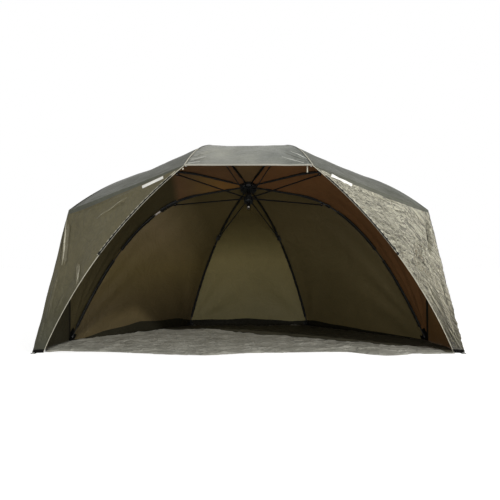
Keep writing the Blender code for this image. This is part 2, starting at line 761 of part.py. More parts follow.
def build_floor(ribs, finishes):
    """The groundsheet."""
    skin = shell(floor_grid(ribs), lambda point: Vector((0, 0, 1)), False)
    show("groundsheet", skin, finishes["floor"])


def main():
    for obj in list(bpy.data.objects):
        bpy.data.objects.remove(obj)
    finishes = {
        "hub": material("black moulding", (0.012, 0.016, 0.017), 0.5),
        "rib": material("black fibreglass", (0.015, 0.018, 0.018), 0.35),
        "steel": material("black steel", (0.02, 0.022, 0.022), 0.4, 0.6),
        "tube": material("dark tube", (0.03, 0.032, 0.032), 0.35, 0.8),
        "bright": material("bright metal", (0.6, 0.6, 0.58), 0.3, 1.0),
        "cloth": material("olive cloth", (0.16, 0.155, 0.12), 0.8),
        "zip": material("black zip", (0.02, 0.02, 0.018), 0.5),
        "webbing": material("black webbing", (0.015, 0.015, 0.015), 0.9),
        "floor": material("groundsheet cloth", (0.12, 0.12, 0.10), 0.7),
    }
    ribs = make_ribs()
    build_crown(ribs, finishes)
    build_runner(ribs, finishes)
    meshes = {"bracket": bracket_mesh(), "tip": tip_mesh()}
    for rib in ribs:
        build_rib(rib, meshes, finishes)
    show("canopy", shell(roof_grid(ribs), away_from_inside, True), finishes["cloth"])
    for side in ("right", "left"):
        grid = wing_grid(ribs, side)
        show(f"wing_{side}", shell(grid, away_from_inside, False), finishes["cloth"])
        build_zip(grid, side, finishes)
        build_peg_points(ribs, side, finishes)
    build_floor(ribs, finishes)


main()
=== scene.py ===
import json
import math

import bmesh
import bpy
import numpy as np
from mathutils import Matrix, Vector, noise


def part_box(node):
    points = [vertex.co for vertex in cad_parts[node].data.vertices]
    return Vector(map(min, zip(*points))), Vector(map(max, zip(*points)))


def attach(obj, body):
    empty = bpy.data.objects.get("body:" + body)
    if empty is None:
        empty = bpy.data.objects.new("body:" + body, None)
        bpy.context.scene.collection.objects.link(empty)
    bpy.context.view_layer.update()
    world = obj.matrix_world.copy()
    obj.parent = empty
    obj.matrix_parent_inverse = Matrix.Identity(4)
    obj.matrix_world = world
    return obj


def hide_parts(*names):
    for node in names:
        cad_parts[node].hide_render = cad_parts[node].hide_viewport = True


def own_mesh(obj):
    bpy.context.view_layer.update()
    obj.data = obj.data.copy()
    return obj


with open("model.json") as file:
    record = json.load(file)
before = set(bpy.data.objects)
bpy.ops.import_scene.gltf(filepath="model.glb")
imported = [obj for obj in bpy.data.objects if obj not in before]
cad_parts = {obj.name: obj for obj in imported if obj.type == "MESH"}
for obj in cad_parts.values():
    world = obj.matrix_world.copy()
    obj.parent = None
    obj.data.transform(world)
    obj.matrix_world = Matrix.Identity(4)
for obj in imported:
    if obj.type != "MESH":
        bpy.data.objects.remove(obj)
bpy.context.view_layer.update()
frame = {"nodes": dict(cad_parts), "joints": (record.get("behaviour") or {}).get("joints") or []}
nodes = frame["nodes"]

SIDES = ("right", "left")
SIGN = {"right": 1.0, "left": -1.0}
TO_RIGHT = np.array((1.0, 0, 0))
UP = np.array((0, 0, 1.0))

# ---------------------------------------------------------------- the CAD's own numbers
TILT = math.radians(30.3)
AXIS = np.array((0, math.sin(TILT), math.cos(TILT)))
FRONT = np.array((0, -math.cos(TILT), math.sin(TILT)))
HUB = np.array((0, 0.197685, 1.103))
HUB_PIVOT_RADIUS = 0.045
RIB_START_SLOPE = math.radians(4)
FLEX_AT = 0.6
EAR_HALF_WIDTH = 0.0065
TIP_HEIGHT = 0.012
PEG_LINE = -0.775315
PEG_HALF_WIDTH = 1.302
HEM_PAST_TIP = 0.01
CLOTH_ABOVE_RIB = 0.0095
SAG_SHARE = 0.022
FOOT_INSET = 0.059
FOOT_BACK = 0.02
ARCH_BOW = 0.085
FOLD_DEPTH = 0.01
SEAM_GAP = 0.001
# stations along a rib that the CAD's cloth has rows at: hole, three to the bracket, its far end, ferrule
TUBE_STATIONS = (-0.021, 0.1683, 0.3367, 0.505, 0.555, 0.5625, 0.57, FLEX_AT)
ROD_STEPS = 8
LAST_ROW = len(TUBE_STATIONS) - 1 + ROD_STEPS

# the cloth's two faces within the CAD's 3 mm
INNER_FACE = 0.0006
OUTER_FACE = 0.0022
# what lies on the cloth is sunk this far in it, and cloth stays this far above the ground
SUNK = 0.0002

# the camera that was fitted to the photograph: in pixels, then metres back from the origin and up
PICTURE = 500
CENTRE_X, CENTRE_Y = 248.5, 259.9
FOCAL = 683.6
CAMERA_BACK = 4.893315
CAMERA_UP = 0.561


# ---------------------------------------------------------------- ribs
class Rib:
    """A rib in its plane through the crown's axis: which way it points and how it bends."""

    def __init__(self, kind, side, azimuth, start, flex, end, length):
        self.kind, self.side, self.name = kind, side, f"{kind}_{side}"
        turn = SIGN[side] * math.radians(azimuth)
        self.out = math.sin(turn) * TO_RIGHT + math.cos(turn) * FRONT
        self.across = np.cross(AXIS, self.out)
        self.s = np.linspace(-0.03, 2.0, 2031)
        bent = 1 - np.exp(-np.maximum(0, self.s - start) / flex)
        self.slope = RIB_START_SLOPE + (math.radians(end) - RIB_START_SLOPE) * bent
        step = self.s[1] - self.s[0]
        middle = (self.slope[1:] + self.slope[:-1]) / 2
        x = np.concatenate(([0], np.cumsum(np.cos(middle)) * step))
        z = np.concatenate(([0], -np.cumsum(np.sin(middle)) * step))
        self.x = x - np.interp(0, self.s, x) + HUB_PIVOT_RADIUS
        self.z = z - np.interp(0, self.s, z)
        self.grounded = not length
        self.length = length or self.to_ground()
        self.cloth_end = self.length + (HEM_PAST_TIP if self.grounded else 0)

    def to_ground(self):
        short, long = FLEX_AT, 1.99
        for _ in range(40):
            middle = (short + long) / 2
            if self.over(middle, 0)[2] > TIP_HEIGHT:
                short = middle
            else:
                long = middle
        return short

    def over(self, s, lift):
        x, z, a = (np.interp(s, self.s, v) for v in (self.x, self.z, self.slope))
        x, z = x + lift * np.sin(a), z + lift * np.cos(a)
        return HUB + np.multiply.outer(x, self.out) + np.multiply.outer(z, AXIS)

    def normal(self, s):
        a = np.interp(s, self.s, self.slope)
        return np.multiply.outer(np.sin(a), self.out) + np.multiply.outer(np.cos(a), AXIS)

    def station(self, row):
        ends = [FLEX_AT + (self.cloth_end - FLEX_AT) * i / ROD_STEPS for i in range(1, ROD_STEPS + 1)]
        return np.interp(row, range(LAST_ROW + 1), [*TUBE_STATIONS, *ends])


RIB_KINDS = (
    ("front", 22.5, 0.375, 0.4135, 71.6, 1.152),
    ("wing", 63.1, 0.342, 0.933, 77.3, 1.427),
    ("side", 100.6, 0.348, 0.546, 77.4, 0),
    ("rear", 156.4, 0.205, 4.12, 206, 0),
)
ribs = [Rib(kind, "right", *rest) for kind, *rest in RIB_KINDS]
ribs += [Rib(kind, "left", *rest) for kind, *rest in reversed(RIB_KINDS)]
rib_named = {rib.name: rib for rib in ribs}


# ---------------------------------------------------------------- small helpers
def unit(v):
    return v / np.maximum(np.linalg.norm(v, axis=-1, keepdims=True), 1e-12)


def smooth(a, b, x):
    t = np.clip((x - a) / (b - a), 0, 1)
    return t * t * (3 - 2 * t)


def field(points, scale, seed):
    """Smooth noise from -1 to 1 at each point."""
    flat = (np.asarray(points).reshape(-1, 3) * scale + seed * 17.3).tolist()
    return np.array([noise.noise(p) for p in flat]).reshape(np.shape(points)[:-1])


def creased(points, scale, seed):
    """Noise with sharp ridges: 1 on their tops, below it between them."""
    return 1 - np.abs(field(points, scale, seed)) * 2.2


RIDGE_TAPER = 0.25


def ridge(px, pz, ends, width):
    """1 along the line between two ends, falling off over width to each side and towards the ends."""
    x0, z0, x1, z1 = ends
    dx, dz = x1 - x0, z1 - z0
    length = math.hypot(dx, dz)
    along = ((px - x0) * dx + (pz - z0) * dz) / length**2
    aside = ((px - x0) * dz - (pz - z0) * dx) / length
    faded = smooth(0, RIDGE_TAPER, along) * (1 - smooth(1 - RIDGE_TAPER, 1, along))
    return faded * np.exp(-((aside / width) ** 2))


def seen(points):
    """Where points fall in the photograph's 500 pixel frame."""
    away = points[..., 1] + CAMERA_BACK
    return CENTRE_X + FOCAL * points[..., 0] / away, CENTRE_Y - FOCAL * (points[..., 2] - CAMERA_UP) / away


class Skin:
    """A sheet on a grid of points, rows by columns, with normals that face out."""

    def __init__(self, points, outward, closed=False):
        self.closed = closed
        self.outward = outward
        self.set(points)

    def set(self, points):
        self.P = points
        down = np.gradient(points, axis=0)
        if self.closed:
            over = np.roll(points, -1, 1) - np.roll(points, 1, 1)
        else:
            over = np.gradient(points, axis=1)
        normal = unit(np.cross(over, down))
        if np.mean(np.sum(normal * self.outward(points), axis=-1)) < 0:
            normal = -normal
        self.N = normal

    def push(self, amount):
        self.set(self.P + self.N * amount[..., None])

    def at(self, row, column):
        rows, columns = self.P.shape[:2]
        row = np.clip(np.asarray(row, float), 0, rows - 1)
        column = np.asarray(column, float)
        column = column % columns if self.closed else np.clip(column, 0, columns - 1)
        i = np.minimum(np.floor(row).astype(int), rows - 2)
        j = np.floor(column).astype(int)
        if not self.closed:
            j = np.minimum(j, columns - 2)
        k = (j + 1) % columns
        a, b = (row - i)[..., None], (column - j)[..., None]
        found = []
        for grid in (self.P, self.N):
            top = grid[i, j] * (1 - b) + grid[i, k] * b
            low = grid[i + 1, j] * (1 - b) + grid[i + 1, k] * b
            found.append(top * (1 - a) + low * a)
        return found[0], unit(found[1])

    def cut(self, rows, columns):
        """A smaller skin, at any rows and columns of this one."""
        piece = Skin.__new__(Skin)
        piece.closed, piece.outward = False, self.outward
        piece.P, piece.N = self.at(rows, columns)
        return piece


def linked(name, data):
    obj = bpy.data.objects.new(name, data)
    bpy.context.scene.collection.objects.link(obj)
    return obj


def new_object(name, vertices, faces, keys, slots, uv, normals=None):
    mesh = bpy.data.meshes.new(name)
    mesh.from_pydata([tuple(v) for v in vertices], [], faces)
    for key in keys:
        mesh.materials.append(finishes[key])
    mesh.polygons.foreach_set("material_index", slots)
    mesh.shade_smooth()
    layer = mesh.uv_layers.new(name="UVMap")
    loops = np.empty(len(mesh.loops), int)
    mesh.loops.foreach_get("vertex_index", loops)
    layer.data.foreach_set("uv", np.asarray(uv, np.float32)[loops].ravel())
    mesh.validate()
    if normals is not None:
        mesh.normals_split_custom_set_from_vertices([tuple(n) for n in normals])
    return linked(name, mesh)


def cloth_piece(
    name, skin, rows, columns, keys, low=INNER_FACE, high=OUTER_FACE, pick=None, pick_inner=None, origin=0.5
):
    """Part of a skin as cloth: an outer face, an inner face, and a narrow edge all round."""
    r = np.arange(rows[0], rows[1] + 1)
    c = np.arange(columns[0], columns[1] + 1)
    cc = c % skin.P.shape[1] if skin.closed else c
    P, N = skin.P[np.ix_(r, cc)], skin.N[np.ix_(r, cc)]
    R, C = len(r), len(c)
    v = np.vstack((np.zeros(C), np.cumsum(np.linalg.norm(np.diff(P, axis=0), axis=-1), axis=0)))
    u = np.hstack((np.zeros((R, 1)), np.cumsum(np.linalg.norm(np.diff(P, axis=1), axis=-1), axis=1)))
    zero = int(origin * C)
    u = u - u[:, zero : zero + 1]
    outer, inner = P + N * high, P + N * low
    for side in (outer, inner):
        side[..., 2] = np.maximum(side[..., 2], SUNK)
    vertices = [*outer.reshape(-1, 3), *inner.reshape(-1, 3)]
    uv = [*np.dstack((u, v)).reshape(-1, 2)] * 2
    normals = [*N.reshape(-1, 3), *(-N.reshape(-1, 3))]
    faces, slots = [], []
    i, j = R // 2, C // 2
    flip = np.dot(np.cross(P[i, j] - P[i, j - 1], P[i, j] - P[i - 1, j]), N[i, j]) < 0
    half = R * C
    for i in range(R - 1):
        for j in range(C - 1):
            q = [i * C + j, i * C + j + 1, (i + 1) * C + j + 1, (i + 1) * C + j]
            if flip:
                q.reverse()
            faces += [q, [half + n for n in reversed(q)]]
            slots += [pick(r[i], c[j]) if pick else 0, pick_inner(r[i], c[j]) if pick_inner else 1]
    grid = np.arange(half).reshape(R, C).tolist()
    ends = [[row[0] for row in grid], [row[-1] for row in grid]]
    for line, turned in ((grid[0], True), (grid[-1], False), (ends[0], False), (ends[1], True)):
        for one, two in zip(line, line[1:]):
            q = [one, two, half + two, half + one]
            if turned != flip:
                q.reverse()
            faces.append(q)
            slots.append(0)
    area = float(np.sum(np.linalg.norm(np.cross(P[1:, :-1] - P[:-1, :-1], P[:-1, 1:] - P[:-1, :-1]), axis=-1)))
    size = (float(np.max(u[:, -1] - u[:, 0])), float(np.max(v[-1])))
    return new_object(name, vertices, faces, keys, slots, uv, normals), size, area


def swept(name, centres, sides, ups, profile, key, taper=0.0):
    """A section carried along a line. The profile is a closed loop of (side, up) pairs."""
    centres = np.asarray(centres, float)
    count, around = len(centres), len(profile)
    sides, ups = (np.broadcast_to(a, centres.shape)[:, None] for a in (sides, ups))
    run = np.concatenate(([0], np.cumsum(np.linalg.norm(np.diff(centres, axis=0), axis=1))))
    shrink = np.ones(count)
    if taper:
        shrink = np.clip(np.minimum(run, run[-1] - run) / taper, 0.15, 1) ** 0.5
    section = np.array(profile, float)
    vertices = centres[:, None] + (sides * section[:, :1] + ups * section[:, 1:]) * shrink[:, None, None]
    perimeter = np.concatenate(([0], np.cumsum(np.linalg.norm(np.diff(section, axis=0), axis=1))))
    uv = np.dstack(np.broadcast_arrays(perimeter[None], run[:, None])).reshape(-1, 2)
    ring = np.arange(around)
    after = (ring + 1) % around
    start = np.arange(count - 1)[:, None] * around
    faces = np.stack((start + ring, start + after, start + after + around, start + ring + around), axis=-1)
    faces = faces.reshape(-1, 4).tolist() + [ring.tolist(), ((count - 1) * around + ring[::-1]).tolist()]
    obj = new_object(name, vertices.reshape(-1, 3), faces, [key], [0] * len(faces), uv)
    work = bmesh.new()
    work.from_mesh(obj.data)
    bmesh.ops.recalc_face_normals(work, faces=work.faces)
    work.to_mesh(obj.data)
    work.free()
    obj.data.set_sharp_from_angle(angle=math.radians(48))
    return obj


def strip(name, skin, one, two, key, low, high, across=4):
    """A band of cloth on a skin between two lines of it, each given as rows and columns."""
    share = np.linspace(0, 1, across + 1)[:, None]
    rows, columns = (a * (1 - share) + b * share for a, b in zip(one, two))
    return cloth_piece(name, skin.cut(rows, columns), (0, across), (0, rows.shape[1] - 1), [key, key], low, high)[0]


def bridge(name, lines, outward, key, high):
    """A band of cloth through given lines of points, the first and last of them its edges."""
    skin = Skin(np.stack(lines), outward)
    return cloth_piece(name, skin, (0, len(lines) - 1), (0, len(lines[0]) - 1), [key, key], 0.0, high)[0]


def round_profile(radius, sides=10):
    turns = (2 * math.pi * i / sides for i in range(sides))
    return [(radius * math.cos(turn), radius * math.sin(turn)) for turn in turns]


def tape_profile(width, height=0.0012):
    """A flat tape with a soft top: its underside is at zero."""
    half = ((0, 1.0), (0.5, 1.0), (1.0, 0.8), (0.92, 0.3))
    left = [(-width / 2 * aside, height * up) for up, aside in half]
    return left + [(-aside, up) for aside, up in reversed(left)]


def on_skin(name, skin, rows, columns, profile, key, lift=OUTER_FACE, inside=False, taper=0.0):
    """A tape, cord or seam that lies on a skin along a line of its grid."""
    point, normal = skin.at(rows, columns)
    if inside:
        normal = -normal
        lift = -INNER_FACE
    centre = point + normal * lift
    along = unit(np.gradient(centre, axis=0))
    side = unit(np.cross(normal, along))
    return swept(name, centre, side, unit(np.cross(along, side)), profile, key, taper)


def crease(name, skin, rows, columns, ends, broad, key):
    """A crease in a sheet, drawn as a thin tape whose finish paints a highlight or a shadow along it, between two
    points of the picture, searched for among the given rows and columns.
    """
    i, j = np.meshgrid(rows, columns, indexing="ij")
    px, py = seen(skin.at(i, j)[0])
    best = [np.argmin((px - a) ** 2 + (py - b) ** 2) for a, b in np.linspace(ends[:2], ends[2:], 3)]
    t = np.linspace(0, 2, 40)
    line = [np.interp(t, range(3), found.ravel()[best]) for found in (i, j)]
    return on_skin(name, skin, *line, tape_profile(broad), key, OUTER_FACE - SUNK, taper=0.12)


def round_rib(name, rib, s, lift, wide, tall, sides, key, taper=0.0):
    """A round piece along a rib, from its half widths across the rib and square to it."""
    across = rib.across * np.reshape(wide, (-1, 1))
    up = rib.normal(s) * np.reshape(tall, (-1, 1))
    return swept(name, rib.over(s, lift), across, up, round_profile(1.0, sides), key, taper)


# ---------------------------------------------------------------- materials
def add_node(tree, kind, values=None, **settings):
    made = tree.nodes.new(f"ShaderNode{kind}")
    for key, value in settings.items():
        setattr(made, key, value)
    for key, value in (values or {}).items():
        if isinstance(value, bpy.types.NodeSocket):
            tree.links.new(value, made.inputs[key])
        else:
            made.inputs[key].default_value = value
    return made


def plain_rays(tree):
    """1 for the rays that show the studio as plain white: from the camera, by gloss or through glass."""
    path = add_node(tree, "LightPath").outputs
    both = add_node(tree, "Math", {0: path["Is Camera Ray"], 1: path["Is Glossy Ray"]}, operation="MAXIMUM")
    values = {0: both.outputs[0], 1: path["Is Transmission Ray"]}
    return add_node(tree, "Math", values, operation="MAXIMUM").outputs[0]


class Graph:
    """A material and the nodes that feed its shader."""

    def __init__(self, name):
        self.made = bpy.data.materials.new(name)
        self.made.use_nodes = True
        self.tree = self.made.node_tree
        self.shader = self.tree.nodes["Principled BSDF"]
        self.coord = self.tree.nodes.new("ShaderNodeTexCoord")

    def node(self, kind, values=None, **settings):
        return add_node(self.tree, kind, values, **settings)

    def along(self, where, axis):
        return self.node("SeparateXYZ", {"Vector": self.coord.outputs[where]}).outputs[axis]

    def noise(self, where, scale, detail=3.0, roughness=0.5, distortion=0.0):
        size = scale if hasattr(scale, "__len__") else (scale, scale, scale)
        placed = self.node("Mapping", {"Vector": self.coord.outputs[where], "Scale": size}).outputs[0]
        values = {"Vector": placed, "Scale": 1.0, "Detail": detail, "Roughness": roughness, "Distortion": distortion}
        return self.node("TexNoise", values).outputs["Fac"]

    def bands(self, axis, pitch, **more):
        values = {"Vector": self.coord.outputs["UV"], "Scale": 0.5 / pitch / 3.1416}
        values.update({key.replace("_", " "): value for key, value in more.items()})
        return self.node("TexWave", values, wave_type="BANDS", bands_direction=axis).outputs["Fac"]

    def stops(self, fac, *stops):
        made = self.node("ValToRGB", {"Fac": fac})
        ramp = made.color_ramp
        while len(ramp.elements) < len(stops):
            ramp.elements.new(1.0)
        for element, (position, colour) in zip(ramp.elements, stops):
            element.position = position
            element.color = (*colour, 1) if hasattr(colour, "__len__") else (colour, colour, colour, 1)
        return made.outputs["Color"]

    def ramp(self, fac, low, high, at=(0.3, 0.7)):
        return self.stops(fac, *zip(at, (low, high)))

    def span(self, fac, low, high, start=0.3, end=0.7):
        values = {"Value": fac, "From Min": start, "From Max": end, "To Min": low, "To Max": high}
        return self.node("MapRange", values).outputs[0]

    def math(self, operation, a, b=0.0):
        return self.node("Math", {0: a, 1: b}, operation=operation).outputs[0]

    def valleys(self, value, level=0.5):
        """Zero along the lines where a noise crosses a level."""
        return self.math("ABSOLUTE", self.math("SUBTRACT", value, level))

    def mix(self, fac, a, b, blend="MIX"):
        a, b = (v if isinstance(v, bpy.types.NodeSocket) else (*v, 1) for v in (a, b))
        return self.node("Mix", {0: fac, 6: a, 7: b}, data_type="RGBA", blend_type=blend).outputs[2]

    # painted light and shade: the colour times a ramp along a place
    def shaded(self, colour, place, low, high, *stops):
        return self.mix(1.0, colour, self.stops(self.span(place, 0.0, 1.0, low, high), *stops), "MULTIPLY")

    def crease_shade(self, colour, lines, width, depth, end, fac=1.0):
        """Painted shade: darker along lines."""
        shade = self.ramp(self.span(lines, 0.0, 1.0, 0.0, width), 1 - depth, 1.0, (0.0, end))
        return self.mix(fac, colour, shade, "MULTIPLY")

    def bump(self, height, strength, distance, normal=None):
        values = {"Height": height, "Strength": strength, "Distance": distance}
        if normal is not None:
            values["Normal"] = normal
        return self.node("Bump", values).outputs[0]

    def finish(self, colour, roughness, normal, **plain):
        for socket, value in (("Base Color", colour), ("Roughness", roughness), ("Normal", normal)):
            self.tree.links.new(value, self.shader.inputs[socket])
        return self.plain(**plain)

    def plain(self, **values):
        for key, value in values.items():
            self.shader.inputs[key.replace("_", " ")].default_value = value
        return self.made


def fabric(
    name, light, dark, roughness, specular=0.5, crumple=0.3, crumple_size=0.05, thread=0.0011, mottle=2.2,
    weave=0.25, ripstop=False, sharp=1.6, shade=None, slant=None, cavity=None, wrinkles=None,
):
    """Coated woven nylon: weave, fine crumpling, uneven colour and gloss, and painted light and shade along an axis and
    along its creases and wrinkles.
    """
    g = Graph(name)
    colour = g.ramp(g.noise("Object", mottle, 4, 0.6), dark, light, (0.32, 0.68))
    colour = g.mix(g.span(g.noise("Object", 95, 2), 0.0, 0.16), colour, tuple(0.55 * c for c in dark))
    # painted light and shade along one axis
    if shade:
        axis, *rest = shade
        colour = g.shaded(colour, g.along("Object", axis), *rest)
    if slant:
        # painted shade along a line that climbs as it goes right
        climb, *rest = slant
        place = g.math("ADD", g.along("Object", "X"), g.math("MULTIPLY", g.along("Object", "Z"), climb))
        colour = g.shaded(colour, place, *rest)
    folded = g.valleys(g.noise("Object", 0.55 / crumple_size, 5, 0.55, 1.4))
    # painted shade along crease lines, less near the middle where a fade is given
    if cavity:
        depth, stretch, size, *fade = cavity
        crease_shade = 1.0
        if fade:
            start, end, least = fade
            crease_shade = g.span(g.math("ABSOLUTE", g.along("Object", "X")), least, 1.0, start, end)
        for part, scale, level in ((0.6, 1.0, 0.5), (1.0, 2.1, 0.48)):
            lines = g.valleys(g.noise("Object", tuple(scale * s / size for s in stretch), 2, 0.5, 1.0), level)
            colour = g.crease_shade(colour, lines, 0.1, depth * part, 1.0, crease_shade)
            folded = g.math("ADD", folded, g.math("MULTIPLY", lines, 0.8))
    if wrinkles:
        # painted shade along wrinkles: they run away from the bound edge beside it, and turn down the cloth further out
        depth, start, end, sizes = wrinkles
        turn = g.span(g.along("Object", "X"), 0.0, 1.0, start, end)
        turn = g.math("MULTIPLY", turn, g.span(g.along("UV", "X"), 0.1, 1.0, 0.02, 0.06))
        for part, scale in sizes:
            out, down = (
                g.noise("UV", (scale / wide, scale / long, 1.0), 2, 0.5, 0.7)
                for wide, long in ((0.06, 0.02), (0.018, 0.17))
            )
            lines = g.valleys(g.math("ADD", out, g.math("MULTIPLY", turn, g.math("SUBTRACT", down, out))))
            colour = g.crease_shade(colour, lines, 0.07, depth * part, 0.9)
            folded = g.math("ADD", folded, g.math("MULTIPLY", lines, 1.2 * part))
    shaped = g.math("ADD", g.math("MULTIPLY", folded, sharp), g.noise("Object", 0.35 / crumple_size, 2, 0.5, 0.8))
    woven = g.math("MAXIMUM", *(g.bands(axis, thread, Distortion=0.6, Detail=1.0, Detail_Scale=2.0) for axis in "XY"))
    if ripstop:
        for axis in "XY":
            woven = g.math("ADD", woven, g.span(g.bands(axis, 0.006), 0, 0.7, 0.9, 1.0))
    normal = g.bump(woven, weave, thread * 0.5, g.bump(shaped, crumple, crumple_size * 0.35))
    gloss = g.span(g.noise("Object", 7), roughness - 0.06, roughness + 0.07)
    return g.finish(colour, gloss, normal, Specular_IOR_Level=specular)


def moulded(name, colour, roughness, specular=0.5):
    """Moulded nylon: fine spark texture, scuffed paler in places."""
    g = Graph(name)
    scuff = g.noise("Object", 38, 5, 0.7)
    pale = tuple(1.9 * c + 0.004 for c in colour)
    return g.finish(
        g.ramp(scuff, colour, pale, (0.45, 0.8)), g.span(scuff, roughness - 0.08, roughness + 0.12),
        g.bump(g.noise("Object", 420, 2), 0.12, 0.0004), Specular_IOR_Level=specular,
    )


def rod_finish(name, colour, roughness):
    """Pultruded fibre under clear varnish, with fine streaks."""
    g = Graph(name)
    streak = g.noise("Object", (260, 260, 9), 3, 0.6)
    pale = tuple(1.7 * c + 0.003 for c in colour)
    return g.finish(
        g.ramp(streak, colour, pale, (0.35, 0.75)), g.span(g.noise("Object", 30), roughness - 0.06, roughness + 0.1),
        g.bump(streak, 0.06, 0.0003), Coat_Weight=0.25, Coat_Roughness=0.2,
    )


def metal(name, colour, roughness, metallic=1.0):
    g = Graph(name)
    brushed = g.noise("Object", (700, 700, 40), 2)
    stain = g.noise("Object", 24, 4, 0.65)
    return g.finish(
        g.ramp(stain, tuple(0.72 * c for c in colour), colour, (0.3, 0.62)),
        g.span(brushed, roughness - 0.05, roughness + 0.12), g.bump(brushed, 0.05, 0.0002), Metallic=metallic,
    )


WHOLE = (1, 1, 1)
# the outer cloth and the inner cloth each come in copies painted lighter or darker by how the light falls on them:
# outside, wing_right and brow lit, wing_left and roof in shade; inside, the sunlit gores and wing painted glowing
# brown, the shaded ones dark
# light colour, dark colour, roughness, specular, crumple and its size, thread, mottle
FABRICS = {
    "wing_left": ((0.108, 0.096, 0.052), (0.082, 0.072, 0.037), 0.44, 0.28, 0.34),
    "wing_right": ((0.64, 0.618, 0.49), (0.47, 0.45, 0.35), 0.38, 0.6, 1.0, 0.03, 0.0011, 5.0),
    "roof": ((0.088, 0.091, 0.069), (0.062, 0.065, 0.05), 0.5, 0.22, 0.3, 0.07),
    "brow": ((0.37, 0.367, 0.312), (0.255, 0.256, 0.224), 0.46, 0.35, 0.5, 0.05, 0.0011, 5.0),
    "inside_warm": ((0.225, 0.106, 0.04), (0.18, 0.086, 0.032), 0.62, 0.2, 0.18, 0.1),
    "inside_brow": ((0.196, 0.12, 0.05), (0.158, 0.097, 0.041), 0.62, 0.2, 0.18, 0.1),
    "inside_front": ((0.215, 0.112, 0.048), (0.15, 0.078, 0.034), 0.62, 0.2, 0.18, 0.1),
    "inside_dim": ((0.3465, 0.178, 0.0624), (0.277, 0.142, 0.049), 0.62, 0.2, 0.18, 0.1),
    "inside": ((0.15, 0.118, 0.05), (0.132, 0.104, 0.043), 0.6, 0.25, 0.22, 0.1),
    "inside_left": ((0.262, 0.196, 0.098), (0.222, 0.168, 0.082), 0.6, 0.25, 0.22, 0.1),
    "inside_rear": ((0.314, 0.264, 0.12), (0.27, 0.228, 0.103), 0.6, 0.25, 0.22, 0.1),
    "inside_wing_right": ((0.222, 0.118, 0.042), (0.19, 0.102, 0.036), 0.6, 0.25, 0.18, 0.1),
    "inside_wing_left": ((0.036, 0.031, 0.014), (0.028, 0.024, 0.011), 0.6, 0.25, 0.18, 0.1),
    "floor": ((0.355, 0.35, 0.305), (0.225, 0.222, 0.188), 0.46, 0.6, 1.0, 0.05, 0.0009, 6.0),
    "floor_dark": ((0.056, 0.053, 0.036), (0.04, 0.038, 0.025), 0.6, 0.15, 0.35),
    "flap": ((0.02, 0.018, 0.01), (0.013, 0.012, 0.007), 0.6, 0.12, 0.35),
    "piping": ((0.5, 0.48, 0.39), (0.38, 0.36, 0.29), 0.55, 0.5, 0.1, 0.01, 0.0007),
    "shadow": ((0.15, 0.145, 0.11), (0.075, 0.072, 0.052), 0.6, 0.2, 0.2, 0.01, 0.0007, 26.0),
    "pale": ((0.8, 0.8, 0.74), (0.52, 0.52, 0.47), 0.45, 0.5, 0.2, 0.01, 0.0007, 26.0),
    "crease": ((0.4, 0.38, 0.29), (0.2, 0.185, 0.125), 0.42, 0.5, 0.2, 0.01, 0.0007, 26.0),
    "binding": ((0.43, 0.41, 0.35), (0.32, 0.31, 0.26), 0.6, 0.5, 0.15, 0.015, 0.0007),
    "seam": ((0.075, 0.075, 0.058), (0.055, 0.055, 0.042), 0.5, 0.5, 0.2, 0.012, 0.0008),
    "seam_inside": ((0.022, 0.019, 0.012), (0.014, 0.012, 0.008), 0.85, 0.1, 0.2, 0.012, 0.0008),
    "patch": ((0.82, 0.81, 0.76), (0.7, 0.69, 0.65), 0.5, 0.5, 0.25, 0.02, 0.0006, 30.0),
    "sleeve": ((0.0075, 0.008, 0.0068), (0.004, 0.0044, 0.0036), 0.46, 0.28, 0.6, 0.02, 0.0009),
    "reinforce": ((0.008, 0.0095, 0.01), (0.0045, 0.0052, 0.0056), 0.42, 0.5, 0.4, 0.02, 0.0014),
    "black": ((0.005, 0.005, 0.0045), (0.0025, 0.0025, 0.0022), 0.8, 0.08, 0.3, 0.01, 0.0012),
}
